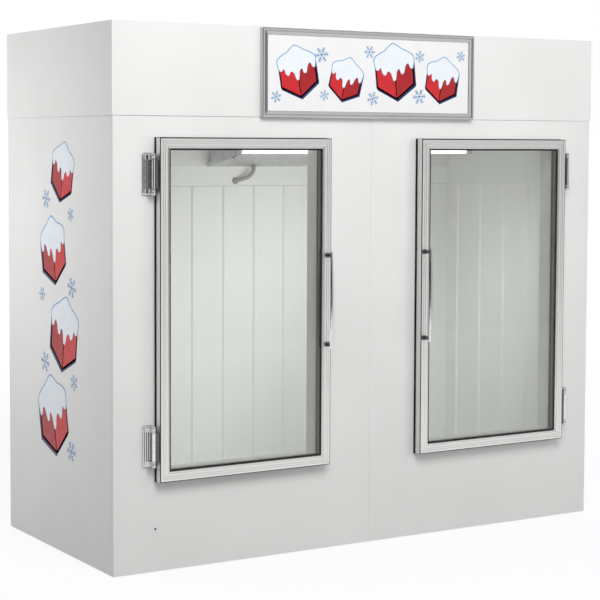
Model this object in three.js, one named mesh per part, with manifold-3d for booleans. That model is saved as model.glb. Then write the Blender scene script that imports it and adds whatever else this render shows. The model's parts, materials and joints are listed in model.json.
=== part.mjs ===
// Two-door ice merchandiser freezer: an insulated steel cabinet with two glazed swing doors,
// a framed sign on its header and a condensing unit on the roof behind the header.
// Millimetres. X runs to the right, Y to the rear and Z up. The origin is on the floor,
// under the middle of the cabinet.

import * as THREE from "three";
import { mergeVertices } from "three/addons/utils/BufferGeometryUtils.js";
import Module from "manifold-3d";

const wasm = await Module();
wasm.setup();

// ---------------------------------------------------------------- driving dimensions

// Cabinet
const BODY_WIDTH = 2388;
const BODY_DEPTH = 1030;
const BODY_HEIGHT = 1786; // floor to the seam under the header
const WALL = 75; // outer sheet to inner liner, on every upright wall
const FLOOR_WALL = 100;
const ROOF_WALL = 75;
const SHEET = 1.5; // outer painted steel
const HEM = 18; // returns folded on the sheets' edges
const SKIRT_GAP = 4; // outer sheets end this far above the floor
const SEAT = 0.3; // clearance between pieces that touch

// Base rails
const RAIL_HEIGHT = 20;
const RAIL_WIDTH = 60;
const RAIL_SHEET = 3;
const RAIL_LIP = 7;
const RAIL_INSET = 110; // outer rails, from the cabinet's sides
const RAIL_SETBACK = 45; // rail ends, from the front and the rear

// Inner liner
const LINER = 1.2;
const RIB_PITCH = 163;
const SIDE_RIB_PITCH = 178;
const RIB_WIDTH = 24;
const RIB_CREST = 10;
const RIB_DEPTH = 8;
const RIB_TOP_DROP = 228; // top of the ribbed sheet, where it laps the plain one, below the ceiling
const RIB_END_MARGIN = 45;

// Doors
const DOOR_WIDTH = 786;
const DOOR_HEIGHT = 1340;
const DOOR_BOTTOM = 361;
const DOOR_SIDE_MARGIN = 180; // door's outer edge, from the cabinet's side
const DOOR_OVERLAP = 40; // door past the opening, all round
const TRIM = 3; // plastic lining of the door openings
const TRIM_FLANGE = 38;
const TRIM_FACE = 1.5;
const GASKET_DEPTH = 9;
const GASKET_WIDTH = 22;
const GASKET_INSET = 3; // from the door's outer edge
const FRAME_FACE = 43;
const FRAME_DEPTH = 36;
const FRAME_RADIUS = 7;
const FRAME_LIP = 4.7; // extrusion in front of the glass
const GLASS_BITE = 12; // depth of the glazing channel
const GLASS_EDGE_GAP = 0.5;
const GLASS = 24; // sealed double pane

// Handles
const HANDLE_SPAN = 380;
const HANDLE_HEIGHT = 1042; // middle of the handle above the floor
const HANDLE_REACH = 32; // bar's axis at its feet, from the frame
const HANDLE_BOW = 12;
const HANDLE_OVERRUN = 12; // bar past each foot
const HANDLE_FOOT_RADIUS = 8;
const BAR_WIDTH = 11;
const BAR_THICKNESS = 8;

// Hinges
const HINGE_HEIGHT = 166;
const HINGE_TOP_GAP = 58; // hinge ends from the door's top edge and, below, from its bottom edge
const HINGE_OUT = 22; // pivot, beside the door's edge
const HINGE_FORWARD = 35; // pivot, in front of the cabinet's face
const HINGE_LEAF_OUT = 34; // fixed leaf past the pivot
const HINGE_LEAF_IN = 12;
const HINGE_LEAF = 9;
const HINGE_LEAF_RADIUS = 9;
const BARREL_RADIUS = 9;
const KNUCKLE_LENGTH = 26;
const KNUCKLE_GAP = 0.5;
const PIN_RADIUS = 4;
const PIN_CLEARANCE = 0.3;
const STRAP = 5;
const STRAP_HEIGHT = 86;

// Header
const HEADER_HEIGHT = 360;
const HEADER_OVERHANG = 3;
const HEADER_FLANGE = 26;
const HEADER_LIP = 12;
const LOUVRE_WIDTH = 300;
const LOUVRE_SLOT = 9;
const LOUVRE_HOOD = 8;
const LOUVRE_PITCH = 30;
const LOUVRE_ROWS = 9;
const LOUVRE_BANKS = 2;
const LOUVRE_BANK_GAP = 40;

// Sign
const SIGN_WIDTH = 1058;
const SIGN_HEIGHT = 358;
const SIGN_DROP = 2; // sign's lower edge, below the seam under the header
const SIGN_CENTRE = -14;
const SIGN_FACE = 27;
const SIGN_DEPTH = 22;
const SIGN_REBATE = 8;
const SIGN_PANEL = 4;
const SIGN_PANEL_RECESS = 8; // panel behind the frame's front

// Lamp over the doors, inside
const LAMP_LENGTH = 1200;
const LAMP_CHANNEL_WIDTH = 56;
const LAMP_CHANNEL_HEIGHT = 34;
const LAMP_TUBE_RADIUS = 13;
const LAMP_TUBE_DROP = 60; // tube's axis below the ceiling
const LAMP_SOCKET = 16;
const LAMP_SOCKET_WALL = 2;

// Evaporator under the ceiling
const EVAPORATOR_WIDTH = 500;
const EVAPORATOR_DEPTH = 360;
const EVAPORATOR_SETBACK = 20; // housing's rear, from the liner
const EVAPORATOR_SHEET = 2;
const BULKHEAD_SETBACK = 170; // the fan's plate, from the housing's rear
const PAN_SHEET = 2;
const PAN_RIM = 18;
const PAN_MARGIN = 9; // pan past the housing, all round
const PAN_DROP = 135; // pan's low rear edge, below the ceiling
const PAN_SLOPE = 10.3; // degrees, down to the rear
const COIL_FIN_PITCH = 16;
const COIL_SIDE_GAP = 15; // coil to the housing's sides
const COIL_FRONT_GAP = 20; // coil to the fan's plate
const COIL_REAR_GAP = 12;
const COIL_PAN_GAP = 3;
const EVAPORATOR_FAN_RADIUS = 40;
const EVAPORATOR_FAN_DEPTH = 18;
const EVAPORATOR_FAN_STAND = 11; // fan's middle, in front of its plate
const EVAPORATOR_MOTOR_GAP = 15; // motor's face, in front of the fan's middle
const EVAPORATOR_MOTOR_LENGTH = 24;
const EVAPORATOR_MOTOR_RADIUS = 16;
const EVAPORATOR_SHAFT_RADIUS = 3;
const FAN_CLEARANCE = 4;
const DRAIN_RADIUS = 9;
const DRAIN_X = -28; // where the tube leaves the pan
const DRAIN_SETBACK = 14; // from the housing's rear
const DRAIN_SINK = 2; // tube's mouth below the pan
const DRAIN_SHIFT = 78; // sideways run of the tube
const DRAIN_DROP = 68;
const DRAIN_EASE = 4; // how far the tube swings past the straight line at its bends

// Condensing unit on the roof
const UNIT_WIDTH = 640;
const UNIT_DEPTH = 490;
const UNIT_SETBACK = 25; // tray's rear, from the cabinet's rear
const UNIT_SHEET = 2;
const UNIT_LIP = 16;
const CONDENSER_WIDTH = 380;
const CONDENSER_HEIGHT = 290;
const CONDENSER_DEPTH = 52;
const CONDENSER_FIN_PITCH = 15;
const SHROUD_DEPTH = 24;
const CONDENSER_FAN_RADIUS = 110;
const CONDENSER_FAN_DEPTH = 34;
const FAN_SHAFT = 14;
const FAN_MOTOR_LENGTH = 84;
const FAN_MOTOR_RADIUS = 40;
const COMPRESSOR_RADIUS = 92;
const COMPRESSOR_HEIGHT = 232;
const COMPRESSOR_X = -190;
const COMPRESSOR_SETBACK = 140; // its axis, from the tray's front
const COMPRESSOR_SHOULDER = 58; // height of each domed end
const COMPRESSOR_FOOT = 14;
const RECEIVER_RADIUS = 48;
const RECEIVER_LENGTH = 250;
const RECEIVER_X = 110;
const RECEIVER_SETBACK = 90;
const RECEIVER_CLEARANCE = 10; // tank above the tray
const CONTROL_WIDTH = 120;
const CONTROL_DEPTH = 110;
const CONTROL_HEIGHT = 170;
const CONTROL_X = 240;
const CONTROL_SETBACK = 230;

// ---------------------------------------------------------------- worked-out places

const HALF_WIDTH = BODY_WIDTH / 2;
const FRONT = -BODY_DEPTH / 2;
const REAR = BODY_DEPTH / 2;
const SKIN = SHEET + SEAT; // outer face to what the sheet covers
const INNER_X = HALF_WIDTH - WALL;
const INNER_FRONT = FRONT + WALL;
const INNER_REAR = REAR - WALL;
const FLOOR_TOP = RAIL_HEIGHT + SEAT + FLOOR_WALL;
const CEILING = BODY_HEIGHT - ROOF_WALL;
const RIB_TOP = CEILING - RIB_TOP_DROP;
const DOOR_INNER_EDGE = HALF_WIDTH - DOOR_SIDE_MARGIN - DOOR_WIDTH; // from the middle plane
const DOOR_CENTRE = DOOR_INNER_EDGE + DOOR_WIDTH / 2;
const DOOR_MIDDLE = DOOR_BOTTOM + DOOR_HEIGHT / 2;
const OPENING_WIDTH = DOOR_WIDTH - 2 * DOOR_OVERLAP;
const OPENING_HEIGHT = DOOR_HEIGHT - 2 * DOOR_OVERLAP;
const CUTOUT = TRIM + SEAT; // wall's cut-out past the clear opening
const GASKET_BACK = FRONT - SEAT - TRIM_FACE - SEAT;
const DOOR_BACK = GASKET_BACK - GASKET_DEPTH - SEAT;
const DOOR_FRONT = DOOR_BACK - FRAME_DEPTH;
const PIVOT_X = DOOR_INNER_EDGE + DOOR_WIDTH + HINGE_OUT;
const PIVOT_Y = FRONT - HINGE_FORWARD;
const HEADER_X = HALF_WIDTH + HEADER_OVERHANG;
const HEADER_FRONT = FRONT - HEADER_OVERHANG;
const HEADER_REAR = REAR + HEADER_OVERHANG;
const HEADER_TOP = BODY_HEIGHT + HEADER_HEIGHT;
const SIGN_MIDDLE = BODY_HEIGHT - SIGN_DROP + SIGN_HEIGHT / 2;
const EVAPORATOR_REAR = INNER_REAR - EVAPORATOR_SETBACK;
const EVAPORATOR_FRONT = EVAPORATOR_REAR - EVAPORATOR_DEPTH;
const BULKHEAD_PLACE = EVAPORATOR_REAR - BULKHEAD_SETBACK;
const PAN_REAR_HEIGHT = CEILING - PAN_DROP;
const UNIT_REAR = REAR - UNIT_SETBACK;
const UNIT_FRONT = UNIT_REAR - UNIT_DEPTH;
const UNIT_FLOOR = BODY_HEIGHT + UNIT_SHEET; // top of the condensing unit's tray
const CONDENSER_MIDDLE = UNIT_FLOOR + SEAT + CONDENSER_HEIGHT / 2;
const CONDENSER_FRONT = UNIT_REAR - UNIT_SHEET - SEAT - CONDENSER_DEPTH;
const SHROUD_FRONT = CONDENSER_FRONT - SEAT - SHROUD_DEPTH;

// ---------------------------------------------------------------- finishes

const finish = (color, roughness, metalness) => ({ color, roughness, metalness });
const WHITE_PAINT = finish(0xe9eae7, 0.45, 0);
const LINER_WHITE = finish(0xd9dbd6, 0.5, 0);
const FOAM = finish(0xe6dcae, 0.9, 0);
const SATIN_ALUMINIUM = finish(0xb9bab6, 0.35, 0.9);
const GREY_ALUMINIUM = finish(0x9a9c9b, 0.4, 0.85);
const CHROME = finish(0xcfd2d4, 0.12, 1);
const GALVANISED = finish(0xa4a8a8, 0.5, 0.7);
const BLACK_RUBBER = finish(0x1c1c1c, 0.8, 0);
const GREY_PLASTIC = finish(0x8b8d88, 0.55, 0);
const PALE_PLASTIC = finish(0xc9cbc6, 0.5, 0);
const CLEAR_GLASS = finish(0xdfe8e6, 0.05, 0);
const SIGN_WHITE = finish(0xf2f3f4, 0.3, 0);
const LAMP_WHITE = finish(0xffffff, 0.4, 0);
const BLACK_ENAMEL = finish(0x202224, 0.4, 0.2);
const COIL_METAL = finish(0xc2c4c4, 0.4, 0.8);

// ---------------------------------------------------------------- modelling helpers

// A closed geometry as a manifold-3d solid.
function toSolid(geometry) {
  const bare = geometry.clone();
  bare.deleteAttribute("normal");
  bare.deleteAttribute("uv");
  const merged = mergeVertices(bare, 1e-4);
  const index = merged.index.array;
  const kept = [];
  for (let i = 0; i < index.length; i += 3) {
    const [a, b, c] = [index[i], index[i + 1], index[i + 2]];
    if (a !== b && b !== c && c !== a) kept.push(a, b, c);
  }
  return new wasm.Manifold(
    new wasm.Mesh({
      numProp: 3,
      vertProperties: merged.attributes.position.array,
      triVerts: new Uint32Array(kept),
    }),
  );
}

function toGeometry(solid) {
  const mesh = solid.getMesh();
  return new THREE.BufferGeometry()
    .setAttribute("position", new THREE.BufferAttribute(mesh.vertProperties, 3))
    .setIndex(new THREE.BufferAttribute(mesh.triVerts, 1));
}

function unite(...geometries) {
  return toGeometry(geometries.map(toSolid).reduce((all, next) => all.add(next)));
}

function cut(geometry, ...tools) {
  return toGeometry(
    tools.map(toSolid).reduce((left, tool) => left.subtract(tool), toSolid(geometry)),
  );
}

// The same closed surface with its faces turned outwards.
function outward(geometry) {
  const position = geometry.getAttribute("position");
  const index = geometry.index
    ? Array.from(geometry.index.array)
    : Array.from({ length: position.count }, (_, i) => i);
  const corner = (i) => new THREE.Vector3().fromBufferAttribute(position, index[i]);
  let volume = 0;
  for (let i = 0; i < index.length; i += 3) {
    volume += corner(i).dot(corner(i + 1).cross(corner(i + 2)));
  }
  if (volume < 0) {
    for (let i = 0; i < index.length; i += 3) {
      [index[i + 1], index[i + 2]] = [index[i + 2], index[i + 1]];
    }
  }
  return geometry.setIndex(index);
}

function block(x0, x1, y0, y1, z0, z1) {
  return new THREE.BoxGeometry(x1 - x0, y1 - y0, z1 - z0).translate(
    (x0 + x1) / 2,
    (y0 + y1) / 2,
    (z0 + z1) / 2,
  );
}

const outline = (points) => new THREE.Shape(points.map(([a, b]) => new THREE.Vector2(a, b)));

function roundedOutline(a0, a1, b0, b1, radius) {
  const quarter = Math.PI / 2;
  const shape = new THREE.Shape();
  shape.absarc(a1 - radius, b0 + radius, radius, -quarter, 0);
  shape.absarc(a1 - radius, b1 - radius, radius, 0, quarter);
  shape.absarc(a0 + radius, b1 - radius, radius, quarter, 2 * quarter);
  shape.absarc(a0 + radius, b0 + radius, radius, 2 * quarter, 3 * quarter);
  return shape;
}

function extruded(shape, length, curveSegments = 5) {
  return new THREE.ExtrudeGeometry(shape, { depth: length, bevelEnabled: false, curveSegments });
}

const AXIS_X = new THREE.Vector3(1, 0, 0);
const AXIS_Y = new THREE.Vector3(0, 1, 0);
const AXIS_Z = new THREE.Vector3(0, 0, 1);

// An outline in X and Y, run along Z.
function alongZ(shape, z0, z1, curveSegments) {
  return extruded(shape, z1 - z0, curveSegments).translate(0, 0, z0);
}

// An outline in Y and Z, run along X.
function alongX(shape, x0, x1, curveSegments) {
  const turn = new THREE.Matrix4().makeBasis(AXIS_Y, AXIS_Z, AXIS_X);
  return extruded(shape, x1 - x0, curveSegments).applyMatrix4(turn).translate(x0, 0, 0);
}

// An outline in X and Z, run along Y.
function alongY(shape, y0, y1, curveSegments) {
  const turn = new THREE.Matrix4().makeBasis(AXIS_X, AXIS_Z, AXIS_Y.clone().negate());
  return extruded(shape, y1 - y0, curveSegments).applyMatrix4(turn).translate(0, y1, 0);
}

// A profile of [radius, height] points that starts and ends on the axis, turned about Z.
function turned(profile, segments) {
  const points = profile.map(([r, h]) => new THREE.Vector2(r, h));
  return outward(new THREE.LatheGeometry(points, segments).rotateX(Math.PI / 2));
}

function rod(radius, z0, z1, segments = 24) {
  return new THREE.CylinderGeometry(radius, radius, z1 - z0, segments)
    .rotateX(Math.PI / 2)
    .translate(0, 0, (z0 + z1) / 2);
}

// A section swept along a curve.
function swept(shape, curve, steps) {
  return new THREE.ExtrudeGeometry(shape, {
    steps,
    bevelEnabled: false,
    extrudePath: curve,
    curveSegments: 3,
  });
}

// A mitred frame round an opening in the XZ plane, centred on the Y axis. Its section is a closed
// loop of [outward from the opening's edge, forward from the back plane] points.
function mitredFrame(width, height, section) {
  const corners = [
    [1, 1],
    [-1, 1],
    [-1, -1],
    [1, -1],
  ];
  const vertices = corners.flatMap(([sx, sz]) =>
    section.flatMap(([out, forward]) => [
      sx * (width / 2 + out),
      -forward,
      sz * (height / 2 + out),
    ]),
  );
  const count = section.length;
  const index = [];
  corners.forEach((_, corner) => {
    const here = corner * count;
    const there = ((corner + 1) % corners.length) * count;
    for (let i = 0; i < count; i += 1) {
      const next = (i + 1) % count;
      index.push(here + i, there + i, there + next);
      index.push(here + i, there + next, here + next);
    }
  });
  const geometry = new THREE.BufferGeometry();
  geometry.setAttribute("position", new THREE.Float32BufferAttribute(vertices, 3));
  return outward(geometry.setIndex(index));
}

const FAN_BLADES = 5;

// A fan of pitched blades on a hub with a stub of shaft, turning about Z.
function fanRotor({ radius, hubRadius, depth, shaftRadius, shaftLength }) {
  const hub = turned(
    [
      [0, -depth / 2],
      [hubRadius * 0.8, -depth / 2],
      [hubRadius, -depth * 0.3],
      [hubRadius, depth / 2],
      [shaftRadius, depth / 2],
      [shaftRadius, depth / 2 + shaftLength],
      [0, depth / 2 + shaftLength],
    ],
    20,
  );
  const parts = [hub];
  for (let i = 0; i < FAN_BLADES; i += 1) {
    parts.push(fanBlade(radius, hubRadius, depth).rotateZ((i * 2 * Math.PI) / FAN_BLADES));
  }
  return unite(...parts);
}

// One blade: a thin section that widens outwards and flattens from root to tip.
function fanBlade(radius, hubRadius, depth) {
  const stations = 4;
  const thickness = radius / 45;
  const rootPitch = 0.75;
  const tipPitch = 0.42;
  const vertices = [];
  for (let i = 0; i < stations; i += 1) {
    const t = i / (stations - 1);
    const r = THREE.MathUtils.lerp(hubRadius * 0.9, radius, t);
    const pitch = THREE.MathUtils.lerp(rootPitch, tipPitch, t);
    const halfChord = (depth * 0.42 * (1 + 0.35 * t)) / Math.sin(rootPitch);
    for (const [along, across] of [
      [-1, -1],
      [1, -1],
      [1, 1],
      [-1, 1],
    ]) {
      const chord = along * halfChord;
      const side = (across * thickness) / 2;
      const y = chord * Math.cos(pitch) - side * Math.sin(pitch);
      const z = chord * Math.sin(pitch) + side * Math.cos(pitch);
      vertices.push(Math.sqrt(Math.max(r * r - y * y, 0)), y, z);
    }
  }
  const index = [];
  for (let i = 0; i < stations - 1; i += 1) {
    for (let j = 0; j < 4; j += 1) {
      const a = i * 4 + j;
      const b = i * 4 + ((j + 1) % 4);
      index.push(a, b, b + 4, a, b + 4, a + 4);
    }
  }
  const tip = (stations - 1) * 4;
  index.push(0, 2, 1, 0, 3, 2, tip, tip + 1, tip + 2, tip, tip + 2, tip + 3);
  const geometry = new THREE.BufferGeometry();
  geometry.setAttribute("position", new THREE.Float32BufferAttribute(vertices, 3));
  return outward(geometry.setIndex(index));
}

// A finned block: a core slab with plate fins on both faces, as an outline in X and Y.
function finnedOutline(width, depth, pitch) {
  const core = depth * 0.3;
  const finThickness = pitch * 0.3;
  const fins = Math.max(2, Math.floor((width - finThickness) / pitch) + 1);
  const first = (-(fins - 1) * pitch) / 2;
  const points = [];
  for (const face of [1, -1]) {
    for (let i = 0; i < fins; i += 1) {
      const x = face * (first + i * pitch);
      const half = (face * finThickness) / 2;
      points.push([-x + half, face * (core / 2)]);
      points.push([-x + half, face * (depth / 2)]);
      points.push([-x - half, face * (depth / 2)]);
      points.push([-x - half, face * (core / 2)]);
    }
  }
  return outline(points);
}

const object = new THREE.Group();

function add(name, geometry, look, parent = object) {
  const mesh = new THREE.Mesh(geometry, new THREE.MeshStandardMaterial(look));
  mesh.name = name;
  parent.add(mesh);
  return mesh;
}

// ---------------------------------------------------------------- base

function baseRail(x) {
  const half = RAIL_WIDTH / 2;
  const section = outline([
    [x - half, 0],
    [x + half, 0],
    [x + half, RAIL_LIP],
    [x + half - RAIL_SHEET, RAIL_LIP],
    [x + half - RAIL_SHEET, RAIL_SHEET],
    [x - half + RAIL_SHEET, RAIL_SHEET],
    [x - half + RAIL_SHEET, RAIL_HEIGHT - RAIL_SHEET],
    [x + half - RAIL_SHEET, RAIL_HEIGHT - RAIL_SHEET],
    [x + half - RAIL_SHEET, RAIL_HEIGHT - RAIL_LIP],
    [x + half, RAIL_HEIGHT - RAIL_LIP],
    [x + half, RAIL_HEIGHT],
    [x - half, RAIL_HEIGHT],
  ]);
  return alongY(section, FRONT + RAIL_SETBACK, REAR - RAIL_SETBACK);
}

// ---------------------------------------------------------------- insulated walls

const CORE_X = HALF_WIDTH - SKIN;
const CORE_FRONT = FRONT + SKIN;
const CORE_REAR = REAR - SKIN;
const REBATE_X = HALF_WIDTH - HEM - SEAT; // a rebate lets in the side sheets' returns
const LINER_BACK_X = INNER_X + LINER + SEAT;
const LINER_BACK_Y = INNER_REAR + LINER + SEAT;

// The cabinet's plan between two depths, rebated at the outer corners.
function planOutline(y0, y1, frontRebate, rearRebate) {
  const front = frontRebate ? y0 + SKIN : y0;
  const rear = rearRebate ? y1 - SKIN : y1;
  return outline([
    [-REBATE_X, y0],
    [REBATE_X, y0],
    [REBATE_X, front],
    [CORE_X, front],
    [CORE_X, rear],
    [REBATE_X, rear],
    [REBATE_X, y1],
    [-REBATE_X, y1],
    [-REBATE_X, rear],
    [-CORE_X, rear],
    [-CORE_X, front],
    [-REBATE_X, front],
  ].filter((point, i, all) => {
    const last = all[(i + all.length - 1) % all.length];
    return point[0] !== last[0] || point[1] !== last[1];
  }));
}

const frontPlan = () => planOutline(CORE_FRONT, INNER_FRONT, true, false);
const OPENING_INNER = DOOR_CENTRE - OPENING_WIDTH / 2 - CUTOUT;
const OPENING_OUTER = DOOR_CENTRE + OPENING_WIDTH / 2 + CUTOUT;
const OPENING_BOTTOM = DOOR_MIDDLE - OPENING_HEIGHT / 2 - CUTOUT;
const OPENING_TOP = DOOR_MIDDLE + OPENING_HEIGHT / 2 + CUTOUT;

function frontPost(side) {
  const shape = outline([
    [side * OPENING_OUTER, CORE_FRONT],
    [side * REBATE_X, CORE_FRONT],
    [side * REBATE_X, CORE_FRONT + SKIN],
    [side * CORE_X, CORE_FRONT + SKIN],
    [side * CORE_X, INNER_FRONT],
    [side * OPENING_OUTER, INNER_FRONT],
  ]);
  return alongZ(shape, OPENING_BOTTOM + SEAT, OPENING_TOP - SEAT);
}

function sideWall(side) {
  const inner = side * LINER_BACK_X;
  const outer = side * CORE_X;
  return block(
    Math.min(inner, outer),
    Math.max(inner, outer),
    INNER_FRONT + SEAT,
    LINER_BACK_Y - SEAT,
    FLOOR_TOP + SEAT,
    CEILING - SEAT,
  );
}

function addInsulatedWalls() {
  const core = planOutline(CORE_FRONT, CORE_REAR, true, true);
  add("floor_panel", alongZ(core, RAIL_HEIGHT + SEAT, FLOOR_TOP), LINER_WHITE);
  add("roof_panel", alongZ(core, CEILING, BODY_HEIGHT - SEAT), GALVANISED);
  const rear = planOutline(LINER_BACK_Y, CORE_REAR, false, true);
  add("rear_wall", alongZ(rear, FLOOR_TOP + SEAT, CEILING - SEAT), FOAM);
  add("left_wall", sideWall(-1), FOAM);
  add("right_wall", sideWall(1), FOAM);
  add("front_sill", alongZ(frontPlan(), FLOOR_TOP + SEAT, OPENING_BOTTOM), LINER_WHITE);
  add("front_lintel", alongZ(frontPlan(), OPENING_TOP, CEILING - SEAT), LINER_WHITE);
  add("left_front_post", frontPost(-1), LINER_WHITE);
  add("right_front_post", frontPost(1), LINER_WHITE);
  const centre = block(
    -OPENING_INNER,
    OPENING_INNER,
    CORE_FRONT,
    INNER_FRONT,
    OPENING_BOTTOM + SEAT,
    OPENING_TOP - SEAT,
  );
  add("centre_post", centre, LINER_WHITE);
}

// ---------------------------------------------------------------- outer sheets

// A side sheet, with its front and rear returns tucked behind the front and rear sheets.
function sideSheet(side) {
  const outer = side * HALF_WIDTH;
  const inner = side * (HALF_WIDTH - SHEET);
  const hem = side * (HALF_WIDTH - HEM);
  const shape = outline([
    [outer, FRONT + SKIN],
    [outer, REAR - SKIN],
    [hem, REAR - SKIN],
    [hem, REAR - SKIN - SHEET],
    [inner, REAR - SKIN - SHEET],
    [inner, FRONT + SKIN + SHEET],
    [hem, FRONT + SKIN + SHEET],
    [hem, FRONT + SKIN],
  ]);
  return alongZ(shape, SKIRT_GAP, BODY_HEIGHT - SEAT);
}

// Half of the front face, cut out for its door.
function frontSheet(side) {
  const seam = side * (SEAT / 2);
  const edge = side * HALF_WIDTH;
  const sheet = block(
    Math.min(seam, edge),
    Math.max(seam, edge),
    FRONT,
    FRONT + SHEET,
    SKIRT_GAP,
    BODY_HEIGHT - SEAT,
  );
  const x = [side * OPENING_INNER, side * OPENING_OUTER].sort((a, b) => a - b);
  const hole = block(...x, FRONT - SHEET, FRONT + 2 * SHEET, OPENING_BOTTOM, OPENING_TOP);
  return cut(sheet, hole);
}

function addSheets() {
  add("left_side_panel", sideSheet(-1), WHITE_PAINT);
  add("right_side_panel", sideSheet(1), WHITE_PAINT);
  add("front_left_panel", frontSheet(-1), WHITE_PAINT);
  add("front_right_panel", frontSheet(1), WHITE_PAINT);
  const rear = block(
    -HALF_WIDTH,
    HALF_WIDTH,
    REAR - SHEET,
    REAR,
    SKIRT_GAP,
    BODY_HEIGHT - SEAT,
  );
  add("rear_panel", rear, WHITE_PAINT);
}

// ---------------------------------------------------------------- ribbed liner

// The plan of a ribbed sheet: a flat run at b = 0 with trapezoid ribs raised to b = depth.
function ribbedOutline(length, pitch, place) {
  const half = length / 2;
  const ribs = Math.floor((half - RIB_END_MARGIN) / pitch);
  const face = [];
  for (let i = -ribs; i <= ribs; i += 1) {
    face.push([i * pitch - RIB_WIDTH / 2, 0]);
    face.push([i * pitch - RIB_CREST / 2, RIB_DEPTH]);
    face.push([i * pitch + RIB_CREST / 2, RIB_DEPTH]);
    face.push([i * pitch + RIB_WIDTH / 2, 0]);
  }
  const front = [[-half, 0], ...face, [half, 0]];
  const back = front.map(([a, b]) => [a, b - LINER]).reverse();
  return outline([...front, ...back].map(([a, b]) => place(a, b)));
}

// A liner: the ribbed sheet below, and a plain sheet above that it laps by its own thickness.
function liner(length, pitch, place) {
  const half = length / 2;
  const ribbed = alongZ(ribbedOutline(length, pitch, place), FLOOR_TOP + SEAT, RIB_TOP);
  const plain = outline(
    [
      [-half, -LINER],
      [half, -LINER],
      [half, -LINER / 2],
      [-half, -LINER / 2],
    ].map(([a, b]) => place(a, b)),
  );
  return unite(ribbed, alongZ(plain, RIB_TOP - HEM, CEILING - SEAT));
}

function addLiners() {
  const sideLength = INNER_REAR + LINER - INNER_FRONT - 2 * SEAT;
  const sideMiddle = (INNER_REAR + LINER + INNER_FRONT) / 2;
  const rearPlace = (a, b) => [a, INNER_REAR - b];
  add("rear_liner", liner(2 * (INNER_X - SEAT), RIB_PITCH, rearPlace), LINER_WHITE);
  for (const [name, side] of [
    ["left_liner", -1],
    ["right_liner", 1],
  ]) {
    const place = (a, b) => [side * (INNER_X - b), sideMiddle + a];
    add(name, liner(sideLength, SIDE_RIB_PITCH, place), LINER_WHITE);
  }
}

// ---------------------------------------------------------------- door openings and doors

// The plastic lining of a door's opening, with a flange on the cabinet's front under the gasket.
function openingTrim() {
  const flangeBack = WALL + SEAT;
  return mitredFrame(OPENING_WIDTH, OPENING_HEIGHT, [
    [0, 0],
    [TRIM, 0],
    [TRIM, flangeBack],
    [TRIM_FLANGE, flangeBack],
    [TRIM_FLANGE, flangeBack + TRIM_FACE],
    [0, flangeBack + TRIM_FACE],
  ]);
}

function arc(centreA, centreB, radius, from, to, steps) {
  return Array.from({ length: steps + 1 }, (_, i) => {
    const angle = THREE.MathUtils.degToRad(from + ((to - from) * i) / steps);
    return [centreA + radius * Math.cos(angle), centreB + radius * Math.sin(angle)];
  });
}

// The door's aluminium extrusion: a glazing channel, a stepped bead round the glass, a groove
// and a rounded outer edge.
function doorFrameSection() {
  const bead = 7;
  const groove = 1.6;
  const beadFront = FRAME_DEPTH - groove / 2;
  const rearChamfer = 2;
  const channelFront = FRAME_DEPTH - FRAME_LIP;
  const channelBack = channelFront - GLASS - 2 * SEAT;
  return [
    [0, 0],
    [FRAME_FACE - rearChamfer, 0],
    [FRAME_FACE, rearChamfer],
    ...arc(FRAME_FACE - FRAME_RADIUS, FRAME_DEPTH - FRAME_RADIUS, FRAME_RADIUS, 0, 90, 4),
    [bead + 2 * groove, FRAME_DEPTH],
    [bead + groove, FRAME_DEPTH - groove],
    [bead, beadFront],
    [groove, beadFront],
    [0, beadFront - groove],
    [0, channelFront],
    [GLASS_BITE, channelFront],
    [GLASS_BITE, channelBack],
    [0, channelBack],
  ];
}

// The door's bellows gasket: a pad on the cabinet and one on the door, with a waist between.
function gasketSection() {
  const inner = DOOR_OVERLAP - GASKET_INSET - GASKET_WIDTH;
  const outer = inner + GASKET_WIDTH;
  const waist = GASKET_DEPTH / 2;
  const pinch = GASKET_DEPTH / 3;
  const notch = GASKET_DEPTH / 9;
  return [
    [inner, 0],
    [outer, 0],
    [outer, waist - notch],
    [outer - pinch, waist],
    [outer, waist + notch],
    [outer, GASKET_DEPTH],
    [inner, GASKET_DEPTH],
    [inner, waist + notch],
    [inner + pinch, waist],
    [inner, waist - notch],
  ];
}

// The pull handle: an oval bar that bows outwards between two collared feet.
function handle() {
  const half = HANDLE_SPAN / 2;
  const end = half + HANDLE_OVERRUN;
  const bow = new THREE.CatmullRomCurve3(
    [-end, -half, -half / 2, 0, half / 2, half, end].map((z) => {
      const bulge = HANDLE_BOW * (1 - Math.min(1, Math.abs(z) / half) ** 2);
      return new THREE.Vector3(0, -HANDLE_REACH - bulge, z);
    }),
  );
  const section = new THREE.Shape();
  section.absellipse(0, 0, BAR_WIDTH / 2, BAR_THICKNESS / 2, 0, 2 * Math.PI);
  const bar = new THREE.ExtrudeGeometry(section, {
    steps: 16,
    bevelEnabled: false,
    extrudePath: bow,
    curveSegments: 6,
  });
  const collar = 2;
  const neck = HANDLE_FOOT_RADIUS * 0.7;
  const foot = turned(
    [
      [0, 0],
      [HANDLE_FOOT_RADIUS + collar, 0],
      [HANDLE_FOOT_RADIUS + collar, 1.5 * collar],
      [HANDLE_FOOT_RADIUS, 2.5 * collar],
      [neck, HANDLE_REACH - BAR_THICKNESS / 2],
      [neck, HANDLE_REACH],
      [0, HANDLE_REACH],
    ],
    12,
  ).rotateX(Math.PI / 2);
  return unite(bar, foot.clone().translate(0, 0, half), foot.clone().translate(0, 0, -half));
}

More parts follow.
